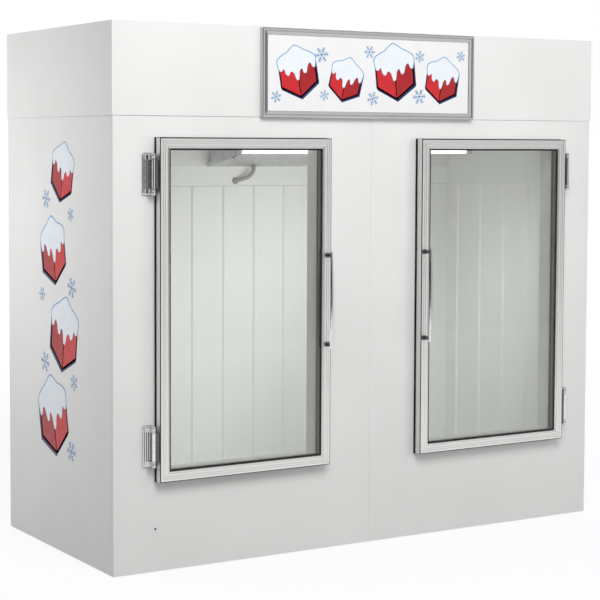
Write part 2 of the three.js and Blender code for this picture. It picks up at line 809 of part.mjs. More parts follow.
// The hinge's fixed leaf: a plate on the cabinet's face, with an arm and a domed knuckle at each
// end, and the pin that joins the knuckles. The pivot is the local Z axis.
function hingeFixedLeaf() {
  const half = HINGE_HEIGHT / 2;
  const face = HINGE_FORWARD - SEAT;
  const plateShape = roundedOutline(
    -HINGE_LEAF_OUT,
    HINGE_LEAF_IN,
    -half,
    half,
    HINGE_LEAF_RADIUS,
  );
  const parts = [alongY(plateShape, face - HINGE_LEAF, face, 4)];
  parts.push(rod(PIN_RADIUS, -half + KNUCKLE_LENGTH / 2, half - KNUCKLE_LENGTH / 2, 16));
  const dome = BARREL_RADIUS * 0.7;
  for (const end of [-1, 1]) {
    const knuckle = turned(
      [
        [0, half - KNUCKLE_LENGTH],
        [BARREL_RADIUS, half - KNUCKLE_LENGTH],
        [BARREL_RADIUS, half - dome],
        [BARREL_RADIUS * 0.92, half - dome * 0.6],
        [BARREL_RADIUS * 0.7, half - dome * 0.28],
        [BARREL_RADIUS * 0.38, half - dome * 0.07],
        [0, half],
      ],
      20,
    );
    parts.push(end > 0 ? knuckle : knuckle.rotateX(Math.PI));
    const armEnd = -HINGE_LEAF_OUT + HINGE_LEAF_RADIUS;
    const arm = outline([
      [-BARREL_RADIUS, 0],
      [BARREL_RADIUS, 0],
      [BARREL_RADIUS, face - HINGE_LEAF / 2],
      [armEnd, face - HINGE_LEAF / 2],
      [armEnd, face - HINGE_LEAF],
    ]);
    const z = [end * (half - KNUCKLE_LENGTH), end * (half - BARREL_RADIUS)];
    parts.push(alongZ(arm, Math.min(...z), Math.max(...z)));
  }
  return unite(...parts);
}

// The door's leaf: a barrel on the pin, a strap, and a plate screwed to the door's edge.
function hingeDoorLeaf() {
  const barrelHalf = HINGE_HEIGHT / 2 - KNUCKLE_LENGTH - KNUCKLE_GAP;
  const doorEdge = HINGE_OUT - SEAT;
  const plateRear = DOOR_BACK - PIVOT_Y - STRAP;
  const barrel = rod(BARREL_RADIUS, -barrelHalf, barrelHalf, 20);
  const strapHalf = BARREL_RADIUS - 1;
  const strapEnd = doorEdge - STRAP / 2;
  const strap = outline([
    [0, -strapHalf],
    [strapEnd, -strapHalf],
    [strapEnd, strapHalf],
    [0, strapHalf],
  ]);
  const strapZ = [-STRAP_HEIGHT / 2, STRAP_HEIGHT / 2];
  const plate = block(doorEdge - STRAP, doorEdge, -BARREL_RADIUS, plateRear, ...strapZ);
  const bore = rod(PIN_RADIUS + PIN_CLEARANCE, -HINGE_HEIGHT, HINGE_HEIGHT, 16);
  const leaf = unite(barrel, alongZ(strap, ...strapZ), plate);
  return cut(leaf, bore);
}

// One door with its opening's trim and its hinges, built for the left and mirrored for the right.
function addDoor(name, side) {
  const group = new THREE.Group();
  group.scale.x = -side;
  object.add(group);
  const innerWidth = DOOR_WIDTH - 2 * FRAME_FACE;
  const innerHeight = DOOR_HEIGHT - 2 * FRAME_FACE;
  const place = (mesh, y) => mesh.position.set(-DOOR_CENTRE, y, DOOR_MIDDLE);
  place(add(`${name}_opening_trim`, openingTrim(), PALE_PLASTIC, group), INNER_FRONT);
  const gasket = mitredFrame(OPENING_WIDTH, OPENING_HEIGHT, gasketSection());
  place(add(`${name}_door_gasket`, gasket, BLACK_RUBBER, group), GASKET_BACK);
  const frame = mitredFrame(innerWidth, innerHeight, doorFrameSection());
  place(add(`${name}_door_frame`, frame, SATIN_ALUMINIUM, group), DOOR_BACK);
  const grip = GLASS_BITE - GLASS_EDGE_GAP;
  const glass = new THREE.BoxGeometry(innerWidth + 2 * grip, GLASS, innerHeight + 2 * grip);
  const glassFront = DOOR_FRONT + FRAME_LIP + SEAT;
  place(add(`${name}_door_glass`, glass, CLEAR_GLASS, group), glassFront + GLASS / 2);
  const pull = add(`${name}_door_handle`, handle(), CHROME, group);
  const pullX = -DOOR_INNER_EDGE - FRAME_FACE / 2;
  pull.position.set(pullX, DOOR_FRONT - SEAT, HANDLE_HEIGHT);
  const hingeShift = DOOR_HEIGHT / 2 - HINGE_TOP_GAP - HINGE_HEIGHT / 2;
  for (const [level, z] of [
    ["upper", DOOR_MIDDLE + hingeShift],
    ["lower", DOOR_MIDDLE - hingeShift],
  ]) {
    const fixed = add(`${name}_hinge_${level}_leaf`, hingeFixedLeaf(), CHROME, group);
    fixed.position.set(-PIVOT_X, PIVOT_Y, z);
    const moving = add(`${name}_door_hinge_${level}`, hingeDoorLeaf(), CHROME, group);
    moving.position.set(-PIVOT_X, PIVOT_Y, z);
  }
}

// ---------------------------------------------------------------- header and sign

// A header sheet's section: a web at a = 0, with a foot on the roof and a lipped top flange.
function headerSection(place) {
  return outline(
    [
      [0, BODY_HEIGHT],
      [HEADER_FLANGE, BODY_HEIGHT],
      [HEADER_FLANGE, BODY_HEIGHT + SHEET],
      [SHEET, BODY_HEIGHT + SHEET],
      [SHEET, HEADER_TOP - SHEET],
      [HEADER_FLANGE - SHEET, HEADER_TOP - SHEET],
      [HEADER_FLANGE - SHEET, HEADER_TOP - HEADER_LIP],
      [HEADER_FLANGE, HEADER_TOP - HEADER_LIP],
      [HEADER_FLANGE, HEADER_TOP],
      [0, HEADER_TOP],
    ].map(([a, z]) => place(a, z)),
  );
}

function headerFront() {
  const flangeEnd = HEADER_X - SHEET - SEAT;
  const folded = alongX(headerSection((a, z) => [HEADER_FRONT + a, z]), -flangeEnd, flangeEnd);
  const y = [HEADER_FRONT, HEADER_FRONT + SHEET];
  return unite(folded, block(-HEADER_X, HEADER_X, ...y, BODY_HEIGHT, HEADER_TOP));
}

function headerSide(side) {
  const section = headerSection((a, z) => [side * (HEADER_X - a), z]);
  const flangeFront = HEADER_FRONT + HEADER_FLANGE + SEAT;
  const flangeRear = HEADER_REAR - HEADER_FLANGE - SEAT;
  const x = [side * HEADER_X, side * (HEADER_X - SHEET)].sort((a, b) => a - b);
  const web = block(
    ...x,
    HEADER_FRONT + SHEET + SEAT,
    HEADER_REAR - SHEET - SEAT,
    BODY_HEIGHT,
    HEADER_TOP,
  );
  return unite(alongY(section, flangeFront, flangeRear), web);
}

// The rear sheet, with banks of louvres: each is a slot under a sloping hood.
function headerRear() {
  const flangeEnd = HEADER_X - SHEET - SEAT;
  const section = headerSection((a, z) => [HEADER_REAR - a, z]);
  const y = [HEADER_REAR - SHEET, HEADER_REAR];
  const web = block(-HEADER_X, HEADER_X, ...y, BODY_HEIGHT, HEADER_TOP);
  const slots = [];
  const hoods = [];
  const firstRow = (BODY_HEIGHT + HEADER_TOP) / 2 - ((LOUVRE_ROWS - 1) * LOUVRE_PITCH) / 2;
  for (let bank = 0; bank < LOUVRE_BANKS; bank += 1) {
    const middle = (bank - (LOUVRE_BANKS - 1) / 2) * (LOUVRE_WIDTH + LOUVRE_BANK_GAP);
    const [x0, x1] = [middle - LOUVRE_WIDTH / 2, middle + LOUVRE_WIDTH / 2];
    for (let row = 0; row < LOUVRE_ROWS; row += 1) {
      const z = firstRow + row * LOUVRE_PITCH;
      slots.push(block(x0, x1, y[0] - SHEET, y[1] + SHEET, z, z + LOUVRE_SLOT));
      const hood = outline([
        [HEADER_REAR - SHEET, z + LOUVRE_SLOT],
        [HEADER_REAR - SHEET, z + LOUVRE_SLOT + LOUVRE_HOOD],
        [HEADER_REAR, z + LOUVRE_SLOT + LOUVRE_HOOD],
        [HEADER_REAR + LOUVRE_HOOD, z + SHEET],
        [HEADER_REAR + LOUVRE_HOOD - SHEET, z],
        [HEADER_REAR, z + LOUVRE_SLOT],
      ]);
      hoods.push(alongX(hood, x0, x1));
    }
  }
  return unite(cut(unite(alongX(section, -flangeEnd, flangeEnd), web), ...slots), ...hoods);
}

// The sign's extrusion: a rebate that holds the panel, and a grooved face with chamfered edges.
function signFrameSection() {
  const lipBack = SIGN_DEPTH - SIGN_PANEL_RECESS;
  const groove = 2;
  const chamfer = 4;
  return [
    [SIGN_REBATE, 0],
    [SIGN_FACE, 0],
    [SIGN_FACE, SIGN_DEPTH - chamfer],
    [SIGN_FACE - chamfer, SIGN_DEPTH],
    [SIGN_FACE / 2 + groove, SIGN_DEPTH],
    [SIGN_FACE / 2, SIGN_DEPTH - groove],
    [SIGN_FACE / 2 - groove, SIGN_DEPTH],
    [chamfer, SIGN_DEPTH],
    [0, SIGN_DEPTH - chamfer],
    [0, lipBack],
    [SIGN_REBATE, lipBack],
  ];
}

function addHeader() {
  add("header_front", headerFront(), WHITE_PAINT);
  add("header_left", headerSide(-1), WHITE_PAINT);
  add("header_right", headerSide(1), WHITE_PAINT);
  add("header_rear_grille", headerRear(), WHITE_PAINT);
  const innerWidth = SIGN_WIDTH - 2 * SIGN_FACE;
  const innerHeight = SIGN_HEIGHT - 2 * SIGN_FACE;
  const back = HEADER_FRONT - SEAT;
  const frame = mitredFrame(innerWidth, innerHeight, signFrameSection());
  add("sign_frame", frame, GREY_ALUMINIUM).position.set(SIGN_CENTRE, back, SIGN_MIDDLE);
  const grip = SIGN_REBATE - GLASS_EDGE_GAP;
  const panel = new THREE.BoxGeometry(innerWidth + 2 * grip, SIGN_PANEL, innerHeight + 2 * grip);
  const panelFront = back - SIGN_DEPTH + SIGN_PANEL_RECESS + SEAT;
  const panelY = panelFront + SIGN_PANEL / 2;
  add("sign_panel", panel, SIGN_WHITE).position.set(SIGN_CENTRE, panelY, SIGN_MIDDLE);
}

// ---------------------------------------------------------------- lamp

function addLamp() {
  const half = LAMP_LENGTH / 2;
  const back = INNER_FRONT + SEAT;
  const axisY = back + LAMP_CHANNEL_WIDTH / 2;
  const axisZ = CEILING - LAMP_TUBE_DROP;
  const top = CEILING - SEAT;
  const channel = outline([
    [back, top],
    [back + LAMP_CHANNEL_WIDTH, top],
    [back + LAMP_CHANNEL_WIDTH, top - LAMP_CHANNEL_HEIGHT * 0.5],
    [back + LAMP_CHANNEL_WIDTH * 0.75, top - LAMP_CHANNEL_HEIGHT],
    [back + LAMP_CHANNEL_WIDTH * 0.25, top - LAMP_CHANNEL_HEIGHT],
    [back, top - LAMP_CHANNEL_HEIGHT * 0.5],
  ]);
  const parts = [alongX(channel, -half, half)];
  const socketHalf = LAMP_TUBE_RADIUS + LAMP_SOCKET_WALL;
  for (const end of [-1, 1]) {
    const x = [end * half, end * (half - LAMP_SOCKET)].sort((a, b) => a - b);
    const socket = roundedOutline(
      axisY - socketHalf,
      axisY + socketHalf,
      axisZ - socketHalf,
      top - LAMP_CHANNEL_HEIGHT / 2,
      LAMP_TUBE_RADIUS / 2,
    );
    parts.push(alongX(socket, ...x, 3));
  }
  add("lamp_fixture", unite(...parts), WHITE_PAINT);
  const tubeHalf = half - LAMP_SOCKET - SEAT;
  const tube = new THREE.CylinderGeometry(
    LAMP_TUBE_RADIUS,
    LAMP_TUBE_RADIUS,
    2 * tubeHalf,
    20,
  ).rotateZ(Math.PI / 2);
  add("lamp_tube", tube, LAMP_WHITE).position.set(0, axisY, axisZ);
}

// ---------------------------------------------------------------- evaporator

const panRise = (y) =>
  PAN_REAR_HEIGHT + (EVAPORATOR_REAR - y) * Math.tan(THREE.MathUtils.degToRad(PAN_SLOPE));

function evaporatorHousing() {
  const half = EVAPORATOR_WIDTH / 2;
  const top = CEILING - SEAT;
  const clear = PAN_SHEET + 2 * SEAT;
  const bottom = (y) => panRise(y) + clear;
  const side = outline([
    [EVAPORATOR_FRONT, bottom(EVAPORATOR_FRONT)],
    [EVAPORATOR_REAR, bottom(EVAPORATOR_REAR)],
    [EVAPORATOR_REAR, top],
    [EVAPORATOR_FRONT, top],
  ]);
  const fanZ = (top + bottom(BULKHEAD_PLACE)) / 2;
  const bulkhead = block(
    -half + EVAPORATOR_SHEET / 2,
    half - EVAPORATOR_SHEET / 2,
    BULKHEAD_PLACE,
    BULKHEAD_PLACE + EVAPORATOR_SHEET,
    bottom(BULKHEAD_PLACE),
    top,
  );
  const through = 5 * EVAPORATOR_SHEET;
  const hole = rod(EVAPORATOR_FAN_RADIUS + FAN_CLEARANCE, -through, through, 28)
    .rotateX(Math.PI / 2)
    .translate(0, BULKHEAD_PLACE, fanZ);
  const motorBack = EVAPORATOR_FAN_STAND + EVAPORATOR_MOTOR_GAP;
  const motorFront = motorBack + EVAPORATOR_MOTOR_LENGTH;
  const motor = rod(EVAPORATOR_MOTOR_RADIUS, -motorFront, -motorBack, 20)
    .rotateX(-Math.PI / 2)
    .translate(0, BULKHEAD_PLACE, fanZ);
  const hangerHalf = EVAPORATOR_MOTOR_RADIUS / 2;
  const hangerEnds = [BULKHEAD_PLACE - motorFront + 2, BULKHEAD_PLACE - motorBack - 2];
  const hanger = block(-hangerHalf, hangerHalf, ...hangerEnds, fanZ, top);
  const roof = block(-half, half, EVAPORATOR_FRONT, EVAPORATOR_REAR, top - EVAPORATOR_SHEET, top);
  return unite(
    roof,
    alongX(side, -half, -half + EVAPORATOR_SHEET),
    alongX(side, half - EVAPORATOR_SHEET, half),
    cut(bulkhead, hole),
    motor,
    hanger,
  );
}

function addEvaporator() {
  add("evaporator_housing", evaporatorHousing(), GALVANISED);
  const top = CEILING - SEAT;
  const coilFront = BULKHEAD_PLACE + COIL_FRONT_GAP;
  const coilRear = EVAPORATOR_REAR - COIL_REAR_GAP;
  const coilBottom = panRise(coilFront) + PAN_SHEET + COIL_PAN_GAP;
  const coilTop = top - EVAPORATOR_SHEET - SEAT;
  const coilWidth = EVAPORATOR_WIDTH - 2 * COIL_SIDE_GAP;
  const fins = finnedOutline(coilWidth, coilRear - coilFront, COIL_FIN_PITCH);
  const coil = add("evaporator_coil", alongZ(fins, coilBottom, coilTop), COIL_METAL);
  coil.position.y = (coilFront + coilRear) / 2;
  addDripPan();
  addDrain();
  const shaft = EVAPORATOR_MOTOR_GAP - EVAPORATOR_FAN_DEPTH / 2;
  const rotor = fanRotor({
    radius: EVAPORATOR_FAN_RADIUS,
    hubRadius: EVAPORATOR_FAN_RADIUS / 3,
    depth: EVAPORATOR_FAN_DEPTH,
    shaftRadius: EVAPORATOR_SHAFT_RADIUS,
    shaftLength: shaft - SEAT,
  });
  const fanZ = (top + panRise(BULKHEAD_PLACE) + PAN_SHEET + 2 * SEAT) / 2;
  const fan = add("evaporator_fan", rotor.rotateX(Math.PI / 2), GREY_PLASTIC);
  fan.position.set(0, BULKHEAD_PLACE - EVAPORATOR_FAN_STAND, fanZ);
}

// A shallow tray with a raised rim, hung at a slope so that it drains to the rear.
function addDripPan() {
  const slope = THREE.MathUtils.degToRad(PAN_SLOPE);
  const half = EVAPORATOR_WIDTH / 2 + PAN_MARGIN;
  const length = (EVAPORATOR_REAR - EVAPORATOR_FRONT) / Math.cos(slope) + PAN_MARGIN;
  const tray = cut(
    block(-half, half, -length, PAN_MARGIN, 0, PAN_RIM),
    block(
      -half + PAN_SHEET,
      half - PAN_SHEET,
      -length + PAN_SHEET,
      PAN_MARGIN - PAN_SHEET,
      PAN_SHEET,
      PAN_RIM + PAN_SHEET,
    ),
  );
  const pan = add("drip_pan", tray, GALVANISED);
  pan.rotation.x = -slope;
  pan.position.set(0, EVAPORATOR_REAR, PAN_REAR_HEIGHT);
}

// The drain tube, from the pan's low edge to a flared flange on the rear wall.
function addDrain() {
  const startY = EVAPORATOR_REAR - DRAIN_SETBACK;
  const start = new THREE.Vector3(DRAIN_X, startY, panRise(startY) - DRAIN_SINK);
  const wall = INNER_REAR - SEAT;
  const end = new THREE.Vector3(DRAIN_X - DRAIN_SHIFT, wall - DRAIN_RADIUS, start.z - DRAIN_DROP);
  const route = new THREE.CatmullRomCurve3([
    start,
    new THREE.Vector3(start.x, start.y + DRAIN_EASE / 4, start.z - DRAIN_DROP * 0.3),
    new THREE.Vector3(
      start.x - DRAIN_SHIFT * 0.3,
      start.y + DRAIN_EASE * 1.5,
      start.z - DRAIN_DROP * 0.72,
    ),
    new THREE.Vector3(end.x + DRAIN_SHIFT * 0.16, end.y - DRAIN_EASE, end.z + DRAIN_EASE),
    end,
  ]);
  const ring = new THREE.Shape();
  ring.absarc(0, 0, DRAIN_RADIUS, 0, 2 * Math.PI);
  const flange = turned(
    [
      [0, 0],
      [DRAIN_RADIUS * 1.8, 0],
      [DRAIN_RADIUS * 1.8, 3],
      [DRAIN_RADIUS * 1.1, DRAIN_RADIUS * 1.5],
      [0, DRAIN_RADIUS * 1.5],
    ],
    18,
  )
    .rotateX(Math.PI / 2)
    .translate(end.x, wall, end.z);
  add("drain_tube", unite(swept(ring, route, 18), flange), GREY_PLASTIC);
}

// ---------------------------------------------------------------- condensing unit

function unitTray() {
  const half = UNIT_WIDTH / 2;
  return cut(
    block(-half, half, UNIT_FRONT, UNIT_REAR, BODY_HEIGHT, BODY_HEIGHT + UNIT_LIP),
    block(
      -half + UNIT_SHEET,
      half - UNIT_SHEET,
      UNIT_FRONT + UNIT_SHEET,
      UNIT_REAR - UNIT_SHEET,
      UNIT_FLOOR,
      BODY_HEIGHT + 2 * UNIT_LIP,
    ),
  );
}

// A welded-shell compressor: a drum with domed ends and a weld flange, on three feet, with the
// box of its terminals in front.
function compressor() {
  const r = COMPRESSOR_RADIUS;
  const h = COMPRESSOR_HEIGHT;
  const foot = COMPRESSOR_FOOT;
  const low = foot + COMPRESSOR_SHOULDER * 0.1;
  const weld = 5;
  const middle = h * 0.55;
  const dome = (share) => COMPRESSOR_SHOULDER * share;
  const shell = turned(
    [
      [0, low],
      [r * 0.6, low + 2],
      [r * 0.9, low + dome(0.25)],
      [r, COMPRESSOR_SHOULDER],
      [r, middle - weld],
      [r + weld, middle - weld / 2],
      [r + weld, middle + weld / 2],
      [r, middle + weld],
      [r, h - dome(1)],
      [r * 0.94, h - dome(0.58)],
      [r * 0.78, h - dome(0.24)],
      [r * 0.5, h - dome(0.05)],
      [0, h],
    ],
    24,
  );
  const parts = [shell];
  const legs = 3;
  const legHalf = foot;
  for (let i = 0; i < legs; i += 1) {
    const turn = (i * 2 * Math.PI) / legs;
    const leg = roundedOutline(r / 2, r + legHalf, -legHalf, legHalf, legHalf - 2);
    parts.push(alongZ(leg, foot - 2, 2 * foot, 3).rotateZ(turn));
    parts.push(rod(legHalf * 0.65, 0, foot, 12).translate(r, 0, 0).rotateZ(turn));
  }
  const terminalHalf = r / 4;
  parts.push(block(-terminalHalf, terminalHalf, -r - terminalHalf, -r / 2, h * 0.35, h * 0.72));
  return unite(...parts);
}

// The fan's cowl: a plate with a skirt on the coil side and a ring round the fan.
function shroud() {
  const half = CONDENSER_WIDTH / 2;
  const halfHeight = CONDENSER_HEIGHT / 2;
  const sheet = UNIT_SHEET;
  const plate = block(-half, half, 0, sheet, -halfHeight, halfHeight);
  const skirt = mitredFrame(CONDENSER_WIDTH - 2 * sheet, CONDENSER_HEIGHT - 2 * sheet, [
    [0, -SHROUD_DEPTH],
    [sheet, -SHROUD_DEPTH],
    [sheet, 0],
    [0, 0],
  ]);
  const boreRadius = CONDENSER_FAN_RADIUS + FAN_CLEARANCE;
  const outer = rod(boreRadius + 1.5 * sheet, -SHROUD_DEPTH / 2, sheet / 2, 40);
  const bore = rod(boreRadius, -SHROUD_DEPTH, SHROUD_DEPTH, 40);
  return cut(unite(plate, skirt, outer.rotateX(-Math.PI / 2)), bore.rotateX(-Math.PI / 2));
}

// The fan motor on its bracket, which stands on the tray.
function fanMotor(axisHeight) {
  const radius = FAN_MOTOR_RADIUS;
  const length = FAN_MOTOR_LENGTH;
  const bevel = radius * 0.15;
  const sheet = 2 * UNIT_SHEET;
  const body = turned(
    [
      [0, 0],
      [radius / 2, 0],
      [radius, bevel],
      [radius, length - bevel],
      [radius / 2, length],
      [0, length],
    ],
    28,
  ).rotateX(Math.PI / 2);
  const post = outline([
    [-radius * 0.85, -axisHeight],
    [radius * 0.85, -axisHeight],
    [radius * 0.7, -radius * 0.4],
    [-radius * 0.7, -radius * 0.4],
  ]);
  const footY = [-length * 0.7, -length * 0.3];
  const foot = block(-radius, radius, ...footY, -axisHeight, -axisHeight + sheet);
  return unite(body, alongY(post, -(length + sheet) / 2, -(length - sheet) / 2), foot);
}

function addCondensingUnit() {
  add("condenser_base", unitTray(), GALVANISED);
  const floor = UNIT_FLOOR + SEAT;
  const machine = add("compressor", compressor(), BLACK_ENAMEL);
  machine.position.set(COMPRESSOR_X, UNIT_FRONT + COMPRESSOR_SETBACK, floor);
  const fins = finnedOutline(CONDENSER_WIDTH, CONDENSER_DEPTH, CONDENSER_FIN_PITCH);
  const coil = add("condenser_coil", alongZ(fins, floor, floor + CONDENSER_HEIGHT), COIL_METAL);
  coil.position.y = CONDENSER_FRONT + CONDENSER_DEPTH / 2;
  const cowl = add("fan_shroud", shroud(), BLACK_ENAMEL);
  cowl.position.set(0, SHROUD_FRONT, CONDENSER_MIDDLE);
  const rotor = fanRotor({
    radius: CONDENSER_FAN_RADIUS,
    hubRadius: CONDENSER_FAN_RADIUS / 4,
    depth: CONDENSER_FAN_DEPTH,
    shaftRadius: CONDENSER_FAN_RADIUS / 22,
    shaftLength: FAN_SHAFT - SEAT,
  });
  const fan = add("condenser_fan", rotor.rotateX(Math.PI / 2), GREY_PLASTIC);
  const fanY = SHROUD_FRONT - UNIT_SHEET;
  fan.position.set(0, fanY, CONDENSER_MIDDLE);
  const motor = add("fan_motor", fanMotor(CONDENSER_MIDDLE - floor), BLACK_ENAMEL);
  motor.position.set(0, fanY - CONDENSER_FAN_DEPTH / 2 - FAN_SHAFT, CONDENSER_MIDDLE);
  const tank = add("receiver_tank", receiver(), BLACK_ENAMEL);
  tank.position.set(RECEIVER_X, UNIT_FRONT + RECEIVER_SETBACK, floor);
  const box = add("control_box", controlBox(), GALVANISED);
  box.position.set(CONTROL_X, UNIT_FRONT + CONTROL_SETBACK, floor);
}

// A horizontal receiver with domed ends on two saddles.
function receiver() {
  const half = RECEIVER_LENGTH / 2;
  const r = RECEIVER_RADIUS;
  const axis = r + RECEIVER_CLEARANCE;
  const saddleHalf = r / 6;
  const dome = [
    [0, half],
    [r * 0.6, half - r * 0.13],
    [r * 0.92, half - r * 0.42],
    [r, half - r * 0.7],
  ];
  const otherEnd = dome.map(([radius, along]) => [radius, -along]);
  const shell = turned([...otherEnd, ...dome.reverse()], 28)
    .rotateY(Math.PI / 2)
    .translate(0, 0, axis);
  const saddle = outline([
    [-r * 0.8, 0],
    [r * 0.8, 0],
    [r * 0.6, axis - r * 0.5],
    [-r * 0.6, axis - r * 0.5],
  ]);
  const parts = [-1, 1].map((end) => {
    const x = end * half * 0.55;
    return alongX(saddle, x - saddleHalf, x + saddleHalf);
  });
  return unite(shell, ...parts);
}

// The control box: a lidded case with a thermostat knob and a cable gland.
function controlBox() {
  const w = CONTROL_WIDTH / 2;
  const d = CONTROL_DEPTH / 2;
  const h = CONTROL_HEIGHT;
  const lid = 4;
  const lap = 1;
  const rim = 2;
  const knobRadius = 14;
  const glandRadius = 10;
  const knob = rod(knobRadius, 0, knobRadius, 24).rotateX(Math.PI / 2).translate(0, -d + lap, h * 0.7);
  const gland = rod(glandRadius, -lap, 1.4 * glandRadius, 12)
    .rotateY(Math.PI / 2)
    .translate(w, 0, h * 0.25);
  return unite(
    block(-w, w, -d + lid - lap, d, 0, h),
    block(-w - rim, w + rim, -d, -d + lid, 0, h + rim),
    knob,
    gland,
  );
}

// ---------------------------------------------------------------- assembly

const railX = HALF_WIDTH - RAIL_INSET;
add("base_rail_left", baseRail(-railX), GALVANISED);
add("base_rail_centre", baseRail(0), GALVANISED);
add("base_rail_right", baseRail(railX), GALVANISED);
addInsulatedWalls();
addSheets();
addLiners();
addDoor("left", -1);
addDoor("right", 1);
addHeader();
addLamp();
addEvaporator();
addCondensingUnit();

export default object;
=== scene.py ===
import json
import math

import bmesh
import bpy
from mathutils import Matrix, Vector


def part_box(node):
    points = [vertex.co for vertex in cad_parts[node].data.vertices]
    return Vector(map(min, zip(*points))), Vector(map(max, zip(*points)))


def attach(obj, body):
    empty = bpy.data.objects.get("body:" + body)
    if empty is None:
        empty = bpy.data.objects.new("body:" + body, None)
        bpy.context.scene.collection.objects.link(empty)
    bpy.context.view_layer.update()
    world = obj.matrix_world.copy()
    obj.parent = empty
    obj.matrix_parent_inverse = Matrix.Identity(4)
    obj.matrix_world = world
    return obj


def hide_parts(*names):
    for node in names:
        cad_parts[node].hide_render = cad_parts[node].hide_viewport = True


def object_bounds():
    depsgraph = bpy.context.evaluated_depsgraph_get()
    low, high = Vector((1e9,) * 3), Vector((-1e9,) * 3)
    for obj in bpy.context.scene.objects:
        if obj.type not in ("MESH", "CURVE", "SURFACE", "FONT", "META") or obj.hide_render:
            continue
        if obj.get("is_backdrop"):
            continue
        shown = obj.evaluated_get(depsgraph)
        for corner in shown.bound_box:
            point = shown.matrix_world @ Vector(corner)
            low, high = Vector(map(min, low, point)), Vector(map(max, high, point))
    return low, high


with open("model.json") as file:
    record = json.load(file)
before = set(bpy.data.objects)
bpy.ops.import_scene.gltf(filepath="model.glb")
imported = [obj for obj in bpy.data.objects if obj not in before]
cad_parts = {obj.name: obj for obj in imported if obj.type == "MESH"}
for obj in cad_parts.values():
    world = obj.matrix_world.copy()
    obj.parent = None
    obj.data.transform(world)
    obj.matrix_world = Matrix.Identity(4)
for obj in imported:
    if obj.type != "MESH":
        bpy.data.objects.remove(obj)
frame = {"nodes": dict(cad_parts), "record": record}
CAD_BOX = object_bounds()

# The looks of a two-door ice merchandiser freezer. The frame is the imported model's, in metres: X to
# the right, Y to the rear, Z up from the floor. Shapes are drawn in millimetres, and where they can
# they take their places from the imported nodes' boxes.

MM = 0.001
LEFT, RIGHT = -1, 1
SIDES = {LEFT: "left", RIGHT: "right"}
CABINET = "cabinet"


def span(name):
    """Lowest and highest corner of a CAD node, in millimetres."""
    low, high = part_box(name)
    return Vector(low) / MM, Vector(high) / MM


FRONT = span("front_left_panel")[0].y
SKIRT = span("front_left_panel")[0].z
BODY_TOP = span("front_left_panel")[1].z
HALF_WIDTH = -span("left_side_panel")[0].x
REAR = span("rear_panel")[1].y
CEILING = span("roof_panel")[0].z
FLOOR_TOP = span("floor_panel")[1].z

# Outer sheets
SHEET = 1.5
FOLD_RADIUS = 4
FOLD_RETURN = 14
FRONT_SEAM = 0.5
SIDE_SEAM = 1.0
HEM = 18
TRIM_FLANGE = 38
TRIM_WALL = 3.3
HEADER_PROUD = 3
PRINT = 0.15
PRINT_GAP = 0.02
# Frames, glazing and gasket
MITRE_GAP = 0.3
FRAME_FACE = 43
FRAME_DEPTH = 36
FRAME_LIP = 4.7
# Size of the notch in the frame's outer edge and of the black bead in it, which paints the dark
# reflection line along that edge
REFLECTION_BEAD = 3.0
GLASS_THICKNESS = 24
PANE = 4
GLASS_BITE = 12
SPACER_SIGHT = 5.5
WEDGE_SIGHT = 4.5
GASKET_DEPTH = 9
GASKET_OUTER = 37
# How far the gasket's outer pad reaches out past its node, into the gap by the door, where its black
# paints the shade
GASKET_SHADE_LIP = 4.6
GASKET_INNER = 15
SIGN_FACE = 27
# Handle: half the distance between its feet, the bar's end beyond them, its reach and its bow
HANDLE_HALF = 183
HANDLE_OVERRUN = 19
HANDLE_REACH = 35
HANDLE_BOW = 6
HANDLE_RADII = (6.2, 4)
# Hinges
PIVOT_X = 1036
PIVOT_Y = -550
HINGE_FORWARD = 35
HINGE_LEAF = 9
KNUCKLE = 26
PIN_END = 9
BARREL_RADIUS = 7.8
BARREL_BORE = 4.3
# Roof unit
COMPRESSOR_X = -190
COMPRESSOR_Y = 140
COMPRESSOR_RADIUS = 92
FAN_BLADES = 5
CONDENSER_FAN_Z = 1933.3
EVAPORATOR_FAN_Z = 1660.1
# Studio
AMBIENT = 0.28
CARD_TONE = 0.06
FLOOR_HALF = 7
FLOOR_WHITE = 0.86
FLOOR_FADE = (2.2, 6.0)
# Each dark card: its direction, and the angles within which it is full and beyond which it is gone
DARK_CARDS = (
    ((-0.75, -0.66, 0), 32, 42),
    ((0.93, -0.36, 0), 17, 24),
    ((0.52, -0.05, 0.85), 18, 30),
)

# ---- node trees

EVEN = (1, 1, 1)


def shader(name, **inputs):
    """A material with one Principled shader. Keyword names are its sockets, with _ for a space."""
    material = bpy.data.materials.new(name)
    material.use_nodes = True
    tree = material.node_tree
    surface = tree.nodes["Principled BSDF"]
    for socket, value in inputs.items():
        surface.inputs[socket.replace("_", " ")].default_value = value
    return material, tree, surface


def bare_material(name):
    """A material without its Principled shader."""
    material, tree, surface = shader(name)
    tree.nodes.remove(surface)
    return material, tree, tree.nodes["Material Output"]


def add_node(tree, kind, inputs=None, **settings):
    """A node whose inputs are given by index or name, as values or as sockets to link from."""
    made = tree.nodes.new(kind)
    for key, value in settings.items():
        setattr(made, key, value)
    for key, value in (inputs or {}).items():
        if isinstance(value, bpy.types.NodeSocket):
            tree.links.new(value, made.inputs[key])
        else:
            made.inputs[key].default_value = value
    return made


def place(tree, stretch=EVEN):
    """Object coordinates, which are the row frame's metres, scaled along each axis."""
    coordinates = add_node(tree, "ShaderNodeTexCoord")
    inputs = {"Vector": coordinates.outputs["Object"], "Scale": stretch}
    return add_node(tree, "ShaderNodeMapping", inputs).outputs["Vector"]


def noise(tree, scale, detail=2, roughness=0.5, stretch=EVEN):
    """A noise from 0 to 1, whose scale counts its cells in a metre."""
    inputs = {
        "Vector": place(tree, stretch),
        "Scale": scale,
        "Detail": detail,
        "Roughness": roughness,
    }
    return add_node(tree, "ShaderNodeTexNoise", inputs).outputs["Fac"]


